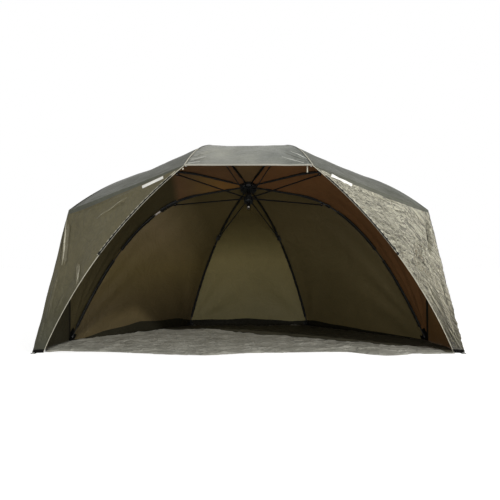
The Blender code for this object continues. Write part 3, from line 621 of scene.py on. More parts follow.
# painted light and shade, by finish: shade and slant darken a cloth along an axis where less light falls on it, cavity
# and wrinkles darken it along its creases
MORE = {
    "wing_left": {
        "ripstop": True, "cavity": (0.14, (0.9, 0.9, 0.5), 0.085),
        "shade": (
            "Z", 0, 0.75, (0, (0.36, 0.42, 0.52)), (0.14, (0.5, 0.55, 0.6)), (0.34, (0.72, 0.75, 0.77)), (0.7, WHOLE)
        ),
    },
    "wing_right": {
        "ripstop": True, "sharp": 2.2, "wrinkles": (0.84, 0.93, 1.02, ((1.0, 1.0), (0.6, 1.9))),
        "shade": (
            "Z", 0, 0.85, (0, (0.18, 0.17, 0.13)), (0.2, (0.42, 0.4, 0.36)), (0.42, (0.76, 0.74, 0.71)), (0.85, WHOLE)
        ),
    },
    "roof": {"ripstop": True, "cavity": (0.1, (0.7, 0.7, 0.7), 0.12)},
    "brow": {
        "ripstop": True, "cavity": (0.55, (0.3, 1.0, 1.5), 0.04, 0.2, 0.36, 0.1),
        "shade": ("X", -0.45, 0.45, (0, WHOLE), (0.5, (0.72, 0.74, 0.74)), (1, (0.48, 0.52, 0.52))),
    },
    "inside_dim": {"shade": (
        "X", -0.8, -0.2, (0, (0.238, 0.376, 0.467)), (0.4, (0.248, 0.388, 0.483)), (0.48, (0.657, 0.727, 1)),
        (0.65, (0.69, 0.818, 1)), (0.78, (0.833, 0.97, 0.958)), (1, (1, 1, 0.833)),
    )},
    "inside": {"shade": ("Z", 0, 1, (0, WHOLE), (0.55, WHOLE), (0.85, (0.8, 0.77, 0.74)))},
    "inside_left": {
        "shade": (
            "Z", 0, 1, (0.08, (0.36, 0.36, 0.33)), (0.26, (0.52, 0.51, 0.44)), (0.5, (0.78, 0.78, 0.6)), (0.82, WHOLE)
        ),
        "slant": (
            0.4, -0.5, 0.3, (0.05, (0.98, 0.98, 0.97)), (0.17, WHOLE), (0.24, (0.93, 0.93, 0.91)),
            (0.335, (0.8, 0.8, 0.75)), (0.435, (0.6, 0.6, 0.51)), (0.535, (0.52, 0.52, 0.43)),
            (0.65, (0.38, 0.38, 0.28)), (0.86, (0.42, 0.42, 0.32)), (1, (0.5, 0.5, 0.4)),
        ),
    },
    "inside_rear": {"shade": (
        "Z", 0, 1, (0.12, (0.9, 0.93, 0.98)), (0.56, (0.96, 0.95, 0.88)), (0.73, (0.52, 0.5, 0.4)),
        (0.89, (0.31, 0.28, 0.21)), (1, (0.37, 0.33, 0.25)),
    )},
    "reinforce": {"weave": 0.5},
}
finishes = {key: fabric(key, *plain, **MORE.get(key, {})) for key, plain in FABRICS.items()}
finishes.update(
    tooth=moulded("zip_teeth", (0.006, 0.006, 0.005), 0.55, 0.15),
    moulding=moulded("moulding", (0.012, 0.014, 0.015), 0.42),
    fibreglass=rod_finish("fibreglass", (0.008, 0.009, 0.01), 0.36),
    steel=metal("black_steel", (0.03, 0.032, 0.034), 0.42, 0.6),
    tube=metal("dark_tube", (0.04, 0.042, 0.044), 0.34, 0.8),
    bright=metal("bright_metal", (0.66, 0.66, 0.63), 0.26),
    ferrule=metal("ferrule_metal", (0.74, 0.68, 0.64), 0.46, 0.7),
)


# ---------------------------------------------------------------- what each cloth piece follows
def follow_rib(rib, outer):
    return {
        "body": f"{'rod' if outer else 'rib'}_{rib.name}",
        "joint": f"{rib.name}_fold",
        "axis": tuple(rib.across),
        "anchor": tuple(HUB),
        "keep": 0.06,
    }


WING_KEEP = 0.05
# how far the flattened wing may reach in past its rib
WING_INWARD = 0.045


def wing_following(side):
    """The side rib's rod that the wing rides on, and the direction square to that rib's outer length to flatten the
    wing along.
    """
    rib = rib_named[f"side_{side}"]
    near, far = rib.over(FLEX_AT, 0), rib.over(rib.length, 0)
    along = unit(far - near)
    normal = unit(np.cross(rib.across, along))
    across = unit(np.cross(along, normal))
    inward = unit(far - rib.over(rib.length, 1))
    cloth = wing_points(side).reshape(-1, 3) - near
    # of all directions square to the rod, the one that leaves the flattened wing closest to it
    # and outside the bundle of ribs
    best = None
    for turn in np.linspace(0, math.pi, 90, endpoint=False):
        lean = across * math.cos(turn) - normal * math.sin(turn)
        flat = cloth - np.outer(cloth @ lean, lean) * (1 - WING_KEEP)
        reach = np.max(np.abs(cloth @ (normal * math.cos(turn) + across * math.sin(turn))))
        if np.max(flat @ inward) < WING_INWARD and (best is None or reach < best[0]):
            best = (reach, lean)
    return {
        "body": f"rod_side_{side}",
        "joint": f"side_{side}_fold",
        "axis": tuple(unit(best[1])),
        "anchor": tuple(near),
        "keep": WING_KEEP,
    }


def place(obj, follow, slot="cloth", flattened=True):
    """The piece rides on its body; a piece of spread cloth gets its own copy of its mesh."""
    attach(obj, follow["body"])
    if flattened:
        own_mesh(obj)
    return obj


# ---------------------------------------------------------------- folds
# ridges on each wing's front, placed in the picture: from x, y to x, y and width in pixels, height in metres
WING_FOLDS = {
    "right": (
        (425.6, 216, 430.8, 257, 0.95, -0.03), (427.9, 219, 433.2, 254, 0.9, 0.013),
        (422, 217, 426.2, 260, 1.25, 0.012), (415.4, 226, 420, 269, 1.2, -0.009),
        (410.8, 229, 412.3, 266, 1.2, 0.008), (418.5, 234, 430.7, 293, 1.15, 0.0085),
        (414.5, 244, 426, 294, 1.1, -0.0085), (430.7, 258, 442.9, 309, 1, -0.009),
        (426.1, 264, 453.7, 336, 1.05, 0.0085), (438.4, 272, 459.8, 344, 0.9, -0.01),
        (433.8, 280, 455.2, 345, 0.9, 0.008), (436, 258, 452, 312, 1, 0.007), (356, 190.5, 405, 206, 1.3, -0.01),
        (381.7, 198.4, 427, 216.4, 1.2, 0.008), (384.8, 208.1, 426, 221, 1.1, -0.009),
        (398, 218, 424.5, 222.5, 1.1, 0.006), (366.4, 200.4, 389, 207, 1.1, 0.007),
        (357, 194.8, 378.6, 216.8, 1, -0.007), (376.6, 220.9, 398, 228.5, 1, -0.009),
        (380, 228.5, 397, 234.5, 0.95, 0.0085), (386.8, 236.2, 407, 243.8, 1, -0.009),
        (392, 243.9, 413.3, 252.8, 1, 0.009), (399, 256.5, 416.4, 265.2, 0.95, -0.0095),
        (405.2, 266.8, 421, 277.5, 0.95, 0.01), (411.3, 276.2, 427.1, 283.8, 0.95, -0.0095),
        (416, 284.2, 431.7, 296, 0.95, 0.0095), (423.6, 291.8, 434.8, 307, 0.95, -0.009),
        (436, 312, 455, 345, 0.8, 0.007),
    ),
    "left": (
        (67.4, 219, 61, 267, 0.85, 0.01), (70.2, 219, 64.6, 270, 1, -0.012), (77.9, 262, 76.5, 284, 0.75, 0.012),
        (80, 262, 78.5, 286, 0.8, -0.006), (128.5, 196.5, 95, 220, 0.75, 0.0085),
        (127, 200.5, 104, 214, 0.8, -0.0065), (141, 188.5, 84.3, 212.7, 1.1, 0.0065),
        (118, 196, 71, 215.8, 1.2, -0.0065), (60, 266, 46, 322, 1, 0.007), (64.4, 293, 52.5, 320, 0.8, 0.007),
        (45, 318, 37.5, 346, 0.9, 0.006),
    ),
}
# the sharpest creases, as strips in painted highlight (crease, pale) and painted shadow (shadow, seam_inside): from x,
# y to x, y in pixels, width in metres, finish
CREASES = {
    "right": (
        (444, 300, 455.5, 341, 0.004, "crease"), (425.4, 217, 430.9, 257, 0.0075, "shadow"),
        (427.6, 220, 430.6, 240, 0.005, "crease"), (359.5, 192.2, 387, 202, 0.005, "shadow"),
        (390.9, 208.4, 417, 215.2, 0.0045, "shadow"), (440, 277, 452, 321, 0.004, "shadow"),
        (420, 236, 423.5, 262, 0.0035, "shadow"),
    ),
    "left": (
        (66.6, 220, 61.8, 265, 0.009, "crease"), (79.3, 264, 76.6, 284, 0.005, "crease"),
        (127, 197.8, 97, 218.6, 0.003, "crease"), (63.8, 226, 60.2, 262, 0.005, "seam_inside"),
    ),
}
# on the brow's corners, strips in painted shadow (seam) and painted highlight (pale)
BROW_CREASES = {
    "right": (
        (284, 152.5, 307, 161.6, 0.007, "seam"), (290, 151, 307.5, 159, 0.0055, "pale"),
        (282, 157, 304, 163, 0.006, "pale"), (293, 149, 307, 157, 0.0065, "seam"),
        (294, 159.2, 306, 163, 0.007, "seam"),
    ),
    "left": (
        (190, 162, 207, 158, 0.006, "seam"), (190.5, 160.4, 206, 156.4, 0.008, "pale"),
        (193.5, 157, 207, 153.2, 0.0055, "seam"), (188.5, 163.4, 200, 161.6, 0.008, "pale"),
    ),
}
# the same for the roof: creases that run in from the brow's corners, and one slack fold on the right
ROOF_FOLDS = (
    (192, 161, 212, 157.5, 0.9, 0.003), (193, 157, 214, 152.5, 0.8, -0.003), (195, 153, 222, 150, 0.8, 0.0028),
    (300, 161, 280, 152, 0.8, -0.003), (303, 159, 289, 149, 0.8, 0.003), (298, 162.5, 272, 158, 0.8, 0.0028),
    (296, 150, 286, 147, 0.8, -0.0026), (378, 182, 420, 207.5, 2.2, 0.006), (360, 181, 396, 197, 1.8, -0.004),
    (150, 172, 100, 190, 2, 0.004),
)


# ---------------------------------------------------------------- roof
GORE_COLUMNS = 32
INNER_ROWS = 20
OUTER_ROWS = 54
HEM_ROW = INNER_ROWS + OUTER_ROWS

inner_s = np.linspace(TUBE_STATIONS[0], FLEX_AT, INNER_ROWS + 1)
roof_rows = np.concatenate(
    (
        np.interp(inner_s, TUBE_STATIONS, range(len(TUBE_STATIONS))),
        np.linspace(len(TUBE_STATIONS) - 1, LAST_ROW, OUTER_ROWS + 1)[1:],
    )
)


def roof_points():
    edges = [rib.over(rib.station(roof_rows), CLOTH_ABOVE_RIB) for rib in ribs]
    columns = []
    for k, rib in enumerate(ribs):
        after = (k + 1) % len(ribs)
        a, b = edges[k], edges[after]
        span = np.linalg.norm(b - a, axis=1)
        for j in range(GORE_COLUMNS):
            share = j / GORE_COLUMNS
            slack = 4 * share * (1 - share) * np.sin(math.pi * roof_rows / LAST_ROW)
            point = a * (1 - share) + b * share
            point = point + (SAG_SHARE * span * slack)[:, None] * unit(HUB - point)
            if rib.grounded and ribs[after].grounded:
                point[:, 2] *= 1 - smooth(LAST_ROW - 1, LAST_ROW, roof_rows)
            point[:, 2] = np.maximum(point[:, 2], 0)
            columns.append(point)
    return np.stack(columns, axis=1)


def roof_folds(skin):
    """Slack between ribs, tension folds from the ribs' ends, and light creasing."""
    columns = np.arange(8 * GORE_COLUMNS)
    share = (columns % GORE_COLUMNS) / GORE_COLUMNS
    from_rib = np.minimum(share, 1 - share)
    gore = columns // GORE_COLUMNS
    down = roof_rows[:, None] / LAST_ROW
    P = skin.P
    free = smooth(0.02, 0.16, from_rib) * smooth(0.05, 0.25, down)
    slack = 0.0045 * field(P, 3.1, 1) * free
    light = 0.0016 * (creased(P * np.array((1, 1, 0.6)), 7.0, 2) - 0.5) * free
    # folds that fan in from each rib's end, stronger on the ribs that reach the ground
    reach = 1 - down + 1e-3
    fan = np.zeros(P.shape[:2])
    for k, rib in enumerate(ribs):
        for own, aside in ((k, share), ((k - 1) % 8, 1 - share)):
            angle = np.arctan2(aside * 0.9, reach)
            near = np.hypot(aside * 0.8, reach)
            waves = np.sin(angle * (9 + 2 * (k % 3)) + 1.7 * k) * smooth(0.03, 0.24, near) * np.exp(-near / 0.26)
            height = 0.015 if rib.grounded else 0.0035
            fan += np.where(gore == own, height * waves * smooth(0, 0.06, aside), 0)
    # short puckers where the hem is bound
    along_hem = np.cumsum(np.linalg.norm(P[-1] - np.roll(P[-1], 1, 0), axis=1))
    pucker = 0.0009 * np.sin(along_hem * 2 * math.pi / 0.045) * smooth(0.95, 1.0, down) * smooth(0, 0.1, from_rib)
    tension = 0.0022 * np.sin(share * 2 * math.pi * 3.5 + 2.0 * down * 6) * smooth(0.55, 0.9, down) * free
    move = slack + light + fan + pucker + np.where(gore == 7, tension, 0)
    px, py = seen(P)
    beside = smooth(0.0, 0.03, from_rib)
    ahead = ((gore == 7) | (gore == 0) | (gore == 6)) * smooth(0.3, 0.5, down)
    for *ends, width, height in ROOF_FOLDS:
        move += 1.6 * height * ridge(px, py, ends, width) * ahead * beside
    move *= 1 - 0.75 * smooth(0.97, 1.0, down)
    return np.maximum(move, -0.0035 - 0.02 * beside)


def from_middle(p):
    return p - np.array((0, HUB[1], HUB[2] / 2))


roof = Skin(roof_points(), from_middle, closed=True)
roof.push(roof_folds(roof))

# gores are counted from the right front rib; inside, the sunlit ones are painted glowing brown and the shaded ones
# dark, as painted light
GORE_INSIDE = [f"inside{end}" for end in ("_warm", "_warm", "", "_rear", "_left", "_dim", "_front", "_brow")]
for k, rib in enumerate(ribs):
    start = k * GORE_COLUMNS

    # the brow's half of each front gore takes the brow copy of the outer cloth, painted lighter as the light falls full
    # on it
    def on_brow(row, column, start=start, side=rib.side):
        return 3 if (column >= start) == (side == "left") else 0

    def past_rib(row, column, start=start):
        return 2 if column >= start else 1

    for outer, part, tube, *rows in (
        (False, "inner", "tube", 0, INNER_ROWS), (True, "outer", "rod", INNER_ROWS, HEM_ROW)
    ):
        piece, size, area = cloth_piece(
            f"roof_{rib.name}_{part}", roof, rows, (start - GORE_COLUMNS // 2, start + GORE_COLUMNS // 2),
            ["roof", GORE_INSIDE[k - 1], GORE_INSIDE[k], "brow"],
            pick=on_brow if rib.kind == "front" else None, pick_inner=past_rib,
        )
        place(piece, follow_rib(rib, outer))
        if k == 0 and not outer:
            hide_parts("canopy")


def roof_row(s, rib):
    """The roof grid's row at a distance along a rib."""
    index = np.interp(s, rib.station(np.arange(LAST_ROW + 1)), range(LAST_ROW + 1))
    return np.interp(index, roof_rows, range(HEM_ROW + 1))


def height_row(column, height):
    """The roof grid's row that lies this far up the cloth from the hem, column by column."""
    point, _ = roof.at(np.arange(HEM_ROW + 1)[:, None], column[None, :])
    run = np.linalg.norm(np.diff(point, axis=0), axis=-1)[::-1].cumsum(axis=0)
    up = np.vstack((np.zeros(len(column)), run))
    return np.array([HEM_ROW - np.interp(h, up[:, j], range(len(up))) for j, h in enumerate(height)])


# dark flaps round the inside of the hem, a sheet of painted shade where the wall meets the floor: height at each share
# of the gore
FLAPS = {
    2: ((0, 0.02), (0.1, 0.03), (0.5, 0.042), (0.9, 0.062), (1, 0.06)),
    3: ((0, 0.055), (0.12, 0.05), (0.5, 0.068), (0.88, 0.06), (1, 0.06)),
    4: ((0, 0.06), (0.12, 0.085), (0.5, 0.098), (0.78, 0.06), (0.94, 0.022), (1, 0.016)),
}
for gore, heights in FLAPS.items():
    for half in (0, 1):
        share = np.linspace(0.5 * half, 0.5 * half + 0.5, 70)
        column = (gore + share) * GORE_COLUMNS
        height = np.interp(share, *zip(*heights)) * (1 + 0.03 * np.sin(share * 21 + gore))
        ends = (height_row(column, height), column), (HEM_ROW - 0.3, column)
        flap = strip(f"mud_flap_{gore}_{half + 1}", roof, *ends, "flap", -0.0014, INNER_FACE - SUNK, 12)
        place(flap, follow_rib(ribs[gore + half], True))

# seams over the ribs, outside
for k, rib in enumerate(ribs):
    for outer, *span in ((False, 0.012, FLEX_AT, 50), (True, FLEX_AT, rib.cloth_end - 0.002, 90)):
        name, rows = f"seam_{rib.name}_{'outer' if outer else 'inner'}", roof_row(np.linspace(*span), rib)
        tape = on_skin(name, roof, rows, k * GORE_COLUMNS, tape_profile(0.013, 0.0011), "seam", OUTER_FACE - SUNK)
        place(tape, follow_rib(rib, outer), flattened=False)

# ---------------------------------------------------------------- wings
WING_ROWS = 150
FRONT_COLUMNS = 110
SIDE_COLUMNS = 60
WING_COLUMNS = FRONT_COLUMNS + SIDE_COLUMNS


def wing_corners(side):
    named = (rib_named[f"{kind}_{side}"] for kind in ("front", "wing", "side"))
    top, peak, heel = (rib.over(rib.cloth_end, CLOTH_ABOVE_RIB) for rib in named)
    heel[2] = 0
    peg = np.array((SIGN[side] * PEG_HALF_WIDTH, PEG_LINE, 0))
    foot = peg + np.array((-SIGN[side] * FOOT_INSET, FOOT_BACK, 0))
    return top, peak, heel, peg, foot


def wing_points(side):
    top, peak, heel, peg, foot = wing_corners(side)
    d = np.linspace(0, 1, WING_ROWS + 1)[:, None, None]
    out = unit(np.cross(foot - top, (0, 1, 0))) * SIGN[side]
    arch = top * (1 - d) + foot * d + out * ARCH_BOW * 4 * d * (1 - d)
    fold = peak * (1 - d) + peg * d
    seam = peak * (1 - d) + heel * d
    a = np.linspace(0, 1, FRONT_COLUMNS + 1)[None, :, None]
    bow = 4 * a * (1 - a) * np.sin(math.pi * d)
    front = arch * (1 - a) + fold * a
    front = front + bow * FOLD_DEPTH * np.cos(2 * math.pi * (a + d)) * np.array((0, 1, 0))
    b = np.linspace(0, 1, SIDE_COLUMNS + 1)[None, 1:, None]
    bow = 4 * b * (1 - b) * np.sin(math.pi * d)
    beside = fold * (1 - b) + seam * b - SIGN[side] * bow * FOLD_DEPTH * np.array((1, 0, 0))
    points = np.concatenate((front, beside), axis=1)
    # the fold line isn't a knife edge
    for _ in range(3):
        for c in range(FRONT_COLUMNS - 2, FRONT_COLUMNS + 3):
            points[1:-1, c] = (points[1:-1, c - 1] + 2 * points[1:-1, c] + points[1:-1, c + 1]) / 4
    points[0, :, 2] -= SEAM_GAP
    points[1:, -1] += unit(points[1:, -2] - points[1:, -1]) * SEAM_GAP
    points[..., 2] = np.maximum(points[..., 2], 0)
    return points


def wing_folds(skin, side):
    P = skin.P
    across = np.concatenate((np.linspace(0, 1, FRONT_COLUMNS + 1), 1 + np.linspace(0, 1, SIDE_COLUMNS + 1)[1:]))
    down = np.linspace(0, 1, WING_ROWS + 1)[:, None]
    hold = smooth(0, 0.05, across) * smooth(0, 0.05, 2 - across) * smooth(0, 0.04, down) * (1 - smooth(0.97, 1.0, down))
    px, py = seen(P)
    on_front = 1 - smooth(0.98, 1.03, across)
    move = np.zeros(P.shape[:2])
    for *ends, width, height in WING_FOLDS[side]:
        move += height * ridge(px, py, ends, width) * on_front
    if side == "right":
        x, z = P[..., 0], P[..., 2]
        middle = np.exp(-(((x - 0.93) / 0.2) ** 2) - (((z - 0.62) / 0.26) ** 2))
        low = smooth(0.45, 0.1, z) * 0.5
        # wrinkles run away from the arch beside it, and down the cloth further out
        out_by = np.linalg.norm(P - P[:, :1], axis=-1) + 0.02 * field(P, 9, 5)
        run = down * 1.33 + 0.016 * field(P, 11, 6)
        turn = smooth(0.93, 1.02, x) * smooth(0.02, 0.07, out_by)
        near_arch = smooth(0.022, 0.055, out_by) * np.exp(-np.minimum(across, 1) * 3.0)
        near_arch *= smooth(1.0, 0.85, down) * smooth(0.05, 0.15, down)
        strength = smooth(0.018, 0.05, out_by) * (0.3 + 0.7 * middle + 0.6 * near_arch + low) * on_front
        for seed, size, height in ((8, 1.0, 0.0105), (9, 1.8, 0.0065)):
            away, hanging = (
                creased(np.stack((out_by * size / a, run * size / b, 0 * run), axis=-1), 1.0, seed) - 0.55
                for a, b in ((0.085, 0.036), (0.03, 0.26))
            )
            move += height * (away * (1 - turn) + hanging * turn) * strength
        move += 0.004 * (creased(P * np.array((1, 0.6, 0.4)), 9, 11) - 0.5) * (1 - on_front)
    else:
        move += 0.0022 * field(P * np.array((1, 1, 0.6)), 5, 12) + 0.0014 * (creased(P, 8, 13) - 0.5)
        move += 0.003 * (creased(P * np.array((1, 0.6, 0.4)), 8, 14) - 0.5) * (1 - on_front)
    # puckers beside the bound edge
    run = down * np.linalg.norm(P[-1, 0] - P[0, 0])
    move += 0.0008 * np.sin(run * 2 * math.pi / 0.037 + 2 * np.sin(run * 9)) * np.exp(-across * 9)
    return move * hold


def hem_column(side, kind, share):
    """The roof grid's column at a share of the gore behind a rib."""
    return (ribs.index(rib_named[f"{kind}_{side}"]) + SIGN[side] * share) * GORE_COLUMNS


def raised(skin, rows, columns, height):
    point, normal = skin.at(rows, columns)
    return point + normal * height


def along_arch(start, end, count):
    return np.linspace(start * WING_ROWS, end * WING_ROWS, count)


def front_column(skin, rows, offset):
    """The grid column this far in metres from the arch's edge, row by row."""
    width = np.linalg.norm(skin.at(rows, FRONT_COLUMNS)[0] - skin.at(rows, 0)[0], axis=1)
    return np.minimum(offset / np.maximum(width, 1e-4), 0.9) * FRONT_COLUMNS


ZIP_END = 0.5
ZIP_INSET = 0.012
# where the blank patch runs: rows, then shares of the front's columns
PATCH = {"right": ((4.8, 7.2), (0.108, 0.268)), "left": ((8.6, 6.6), (0.28, 0.112))}


def make_wing(side, follow):
    """A wing with all that is sewn to it."""
    skin = Skin(wing_points(side), from_middle)
    skin.push(wing_folds(skin, side))
    wing, size, area = cloth_piece(
        f"wing_cloth_{side}", skin, (0, WING_ROWS), (0, WING_COLUMNS), [f"wing_{side}", f"inside_wing_{side}"], origin=0
    )
    trims = []

    def trim(obj, slot="cloth"):
        trims.append((obj, slot))
        return obj

    def line(name, rows, columns, profile, key, above, slot="cloth", **more):
        return trim(on_skin(f"{name}_{side}", skin, rows, columns, profile, key, OUTER_FACE + above, **more), slot)

    def seam(name, on_roof, on_wing, key, thick):
        """A band from the roof's hem to the wing, through lines of rows, columns and heights."""
        lines = [raised(roof, HEM_ROW - up, columns, height) for up, columns, height in on_roof]
        lines += [raised(skin, *where) for where in on_wing]
        trim(bridge(f"{name}_{side}", lines, skin.outward, key, thick))

    # pale piping on the arch, its whole length
    line("arch_piping", along_arch(0.0, 1.0, 170), 0, round_profile(0.0024), "piping", -0.0008)
    # zip: tape, teeth, a pale stitched edge outside it, and the stop at its end
    rows = along_arch(0.06, ZIP_END, 260)
    column = front_column(skin, rows, ZIP_INSET)
    tape = line("zip_tape", rows, column, tape_profile(0.0135, 0.0016), "tooth", 0.0004, "zip")
    teeth = line("zip_teeth", rows, column, tape_profile(0.0052, 0.0022), "tooth", 0.0016, "zip")
    spots = np.array([v.co for v in teeth.data.vertices]).reshape(len(rows), -1, 3)
    middle = spots.mean(axis=1, keepdims=True)
    notch = np.where(np.arange(len(rows)) % 2 == 0, 1.0, 0.62)[:, None, None]
    teeth.data.vertices.foreach_set("co", (middle + (spots - middle) * notch).ravel())
    rows = along_arch(0.03, ZIP_END + 0.01, 130)
    column = front_column(skin, rows, ZIP_INSET + 0.0105)
    line("zip_edge", rows, column, tape_profile(0.005, 0.0016), "piping", 0.0006)
    rows = along_arch(ZIP_END, ZIP_END + 0.012, 8)
    line("zip_stop", rows, front_column(skin, rows, ZIP_INSET), tape_profile(0.015, 0.0035), "tooth", 0.0006, "zip")
    # the sharpest creases, as strips of painted highlight and painted shadow
    grid = np.arange(0, WING_ROWS, 0.5), np.arange(1, FRONT_COLUMNS, 0.5)
    for number, (*ends, broad, key) in enumerate(CREASES[side], 1):
        trim(crease(f"crease_{side}_{number}", skin, *grid, ends, broad, key))
    # bound seam against the roof, and its stitching
    share = np.linspace(0.004, 0.996, 120)
    dip = 0.8 + 3.4 * np.sin(math.pi * share) ** 0.8 + (2.6 if side == "left" else 0.8) * smooth(0.55, 1.0, share)
    eave, rear = hem_column(side, "front", share), hem_column(side, "wing", share)
    front = share * FRONT_COLUMNS
    heights = (0.08, 0.0036), (0.35, 0.003), (0.7, 0.0026), (1.0, 0.0024)
    on_wing = [(dip * d, front, height) for d, height in heights]
    seam("eave_seam", ((1.6, eave, OUTER_FACE), (0, eave, 0.0034)), on_wing, "roof", 0.0008)
    columns = np.linspace(0, FRONT_COLUMNS, 120)
    rows = np.interp(columns / FRONT_COLUMNS, share, dip) + 0.1
    line("eave_stitch", rows, columns, tape_profile(0.0045), "seam", -2 * SUNK)
    # inside, tapes bridge the seams between the roof and the wing's rear edge and eave
    down = share * WING_ROWS
    on_wing = (down, WING_COLUMNS, -0.003), (down, WING_COLUMNS - 1.2, -SUNK)
    seam("rear_seam", ((0.9, rear, -SUNK), (0, rear, -0.003)), on_wing, "seam_inside", 0.0007)
    on_wing = (0, front, -0.0022), (1, front, -SUNK)
    seam("eave_inside", ((0.8, eave, -SUNK), (0, eave, -0.0022)), on_wing, "seam_inside", 0.0007)
    rows = np.linspace(3, WING_ROWS - 3, 90)
    line("fold_seam", rows, FRONT_COLUMNS, tape_profile(0.01), "seam_inside", 0, inside=True)
    rows = np.linspace(1, WING_ROWS - 1, 150)
    line("fold_edge", rows, FRONT_COLUMNS + 0.6, round_profile(0.0022), "seam", -SUNK)
    # blank white patch below the eave
    rows, shares = (np.linspace(*ends, 16) for ends in PATCH[side])
    line("patch", rows, shares * FRONT_COLUMNS, tape_profile(0.02), "patch", 0.0008)
    # heavier cloth over the foot, outside
    corner = (int(0.93 * WING_ROWS), WING_ROWS), (0, FRONT_COLUMNS), [f"wing_{side}"] * 2
    trim(cloth_piece(f"corner_{side}", skin, *corner, OUTER_FACE + 0.0001, OUTER_FACE + 0.0009, origin=0)[0])
    edge = np.linspace(1, FRONT_COLUMNS - 1, 40)
    ends = (np.linspace(0.984, 0.978, 40) * WING_ROWS, edge), (WING_ROWS - 0.2, edge)
    trim(strip(f"foot_{side}", skin, *ends, "black", OUTER_FACE + 0.0006, OUTER_FACE + 0.0018), "webbing")

    placed = [place(obj, follow, slot) for obj, slot in trims]
    place(wing, follow)
    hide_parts(f"wing_{side}")
    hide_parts(f"zip_{side}")
    whole = size[0] * size[1]
    area = max(min(area, whole), 0.3 * whole)


wing_follow = {side: wing_following(side) for side in SIDES}
for side in SIDES:
    make_wing(side, wing_follow[side])

# the peg tabs and their rings stay with the wings' feet
for side in SIDES:
    for kind, key, slot in (("peg_tab", "black", "webbing"), ("eyelet", "bright", "bright_metal")):
        source = nodes[f"{kind}_{side}"]
        mesh = source.data.copy()
        mesh.transform(source.matrix_world)
        mesh.materials.clear()
        mesh.materials.append(finishes[key])
        copy = place(linked(f"foot_{kind}_{side}", mesh), wing_follow[side], slot)
        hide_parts(source.name)

# ---------------------------------------------------------------- brow trims, which ride with the front ribs
# the roof grid's columns that each side's creases are searched among
BROW_COLUMNS = {"right": (240, 256), "left": (224, 240)}
for side in SIDES:
    rib = rib_named[f"front_{side}"]
    follow = follow_rib(rib, True)
    start = ribs.index(rib) * GORE_COLUMNS
    columns = np.linspace(start, start - SIGN[side] * GORE_COLUMNS / 2, 60)
    for inside, end in ((False, "out"), (True, "in")):
        name, profile = f"brow_hem_{side}_{end}", tape_profile(0.017, 0.0013)
        place(on_skin(name, roof, HEM_ROW - 0.38, columns, profile, "binding", inside=inside), follow)
    place(on_skin(f"brow_edge_{side}", roof, HEM_ROW - 0.02, columns, round_profile(0.003), "binding", 0.0014), follow)
    # creases at the brow's corners, as strips of painted highlight and painted shadow
    low, high = BROW_COLUMNS[side]
    grid = np.arange(HEM_ROW - 34, HEM_ROW, 0.25), np.arange(low + 0.2, high, 0.2)
    for number, (*ends, broad, key) in enumerate(BROW_CREASES[side], 1):
        place(crease(f"brow_crease_{side}_{number}", roof, *grid, ends, broad, key), follow)
    rows = roof_row(np.linspace(0.86, rib.cloth_end, 40), rib)
    place(on_skin(f"brow_side_{side}", roof, rows, start, round_profile(0.0036), "piping"), follow, flattened=False)

# ---------------------------------------------------------------- sleeves, straps and fittings along the ribs
# sleeves over the outer lengths: half width, then spans
SLEEVES = {
    "front": (0.011, (0.66, 1.0)),
    "wing": (0.011, (0.66, 1.0)),
    "side": (0.014, (0.66, 1.07), (1.17, 1.72)),
    "rear": (0.0095, (0.66, 1.32)),
}
for rib in ribs:
    width, *spans = SLEEVES[rib.kind]
    for number, (low, high) in enumerate(spans, 1):
        if rib.name == "side_left" and number == 1:
            low = 0.712
        s = np.linspace(low, min(high, rib.length - 0.03), 70)
        wave = 1 + 0.1 * np.sin(s * 95 + 3 * np.sin(s * 31))
        sleeve = round_rib(f"sleeve_{rib.name}_{number}", rib, s, -0.0008, width * wave, 0.0076 * wave, 14, "sleeve")
        place(sleeve, follow_rib(rib, True), flattened=False)

# straps at the stiff lengths' ends: from, to, half width, and whether it is on the outer length
STRAPS = {name: [(0.556, 0.598, 0.015, False)] for name in ("side_right", "rear_right", "rear_left")}
STRAPS["side_left"] = [(0.508, 0.598, 0.0215, False), (0.602, 0.648, 0.0215, True)]
for rib in ribs:
    s = np.linspace(0.085, 0.495, 60)
    wave = 1 + 0.08 * np.sin(s * 80 + rib.across[0] * 5)
    width = (0.0078 + 0.0022 * smooth(0.3, 0.495, s)) * wave
    sleeve = round_rib(f"sleeve_{rib.name}_inner", rib, s, 0.0014, width, 0.007 * wave, 14, "sleeve")
    place(sleeve, follow_rib(rib, False), flattened=False)
    for low, high, width, outer in STRAPS.get(rib.name, ()):
        s = np.linspace(low, high, 30)
        knot = 1 + 0.14 * np.sin(s * 260) + 0.08 * np.sin(s * 610 + 1)
        name = f"strap_{rib.name}_outer" if outer else f"strap_{rib.name}"
        wrap = round_rib(name, rib, s, -0.0004, width * knot, 0.0082 * np.sqrt(knot), 16, "reinforce")
        place(wrap, follow_rib(rib, outer), "webbing", flattened=False)

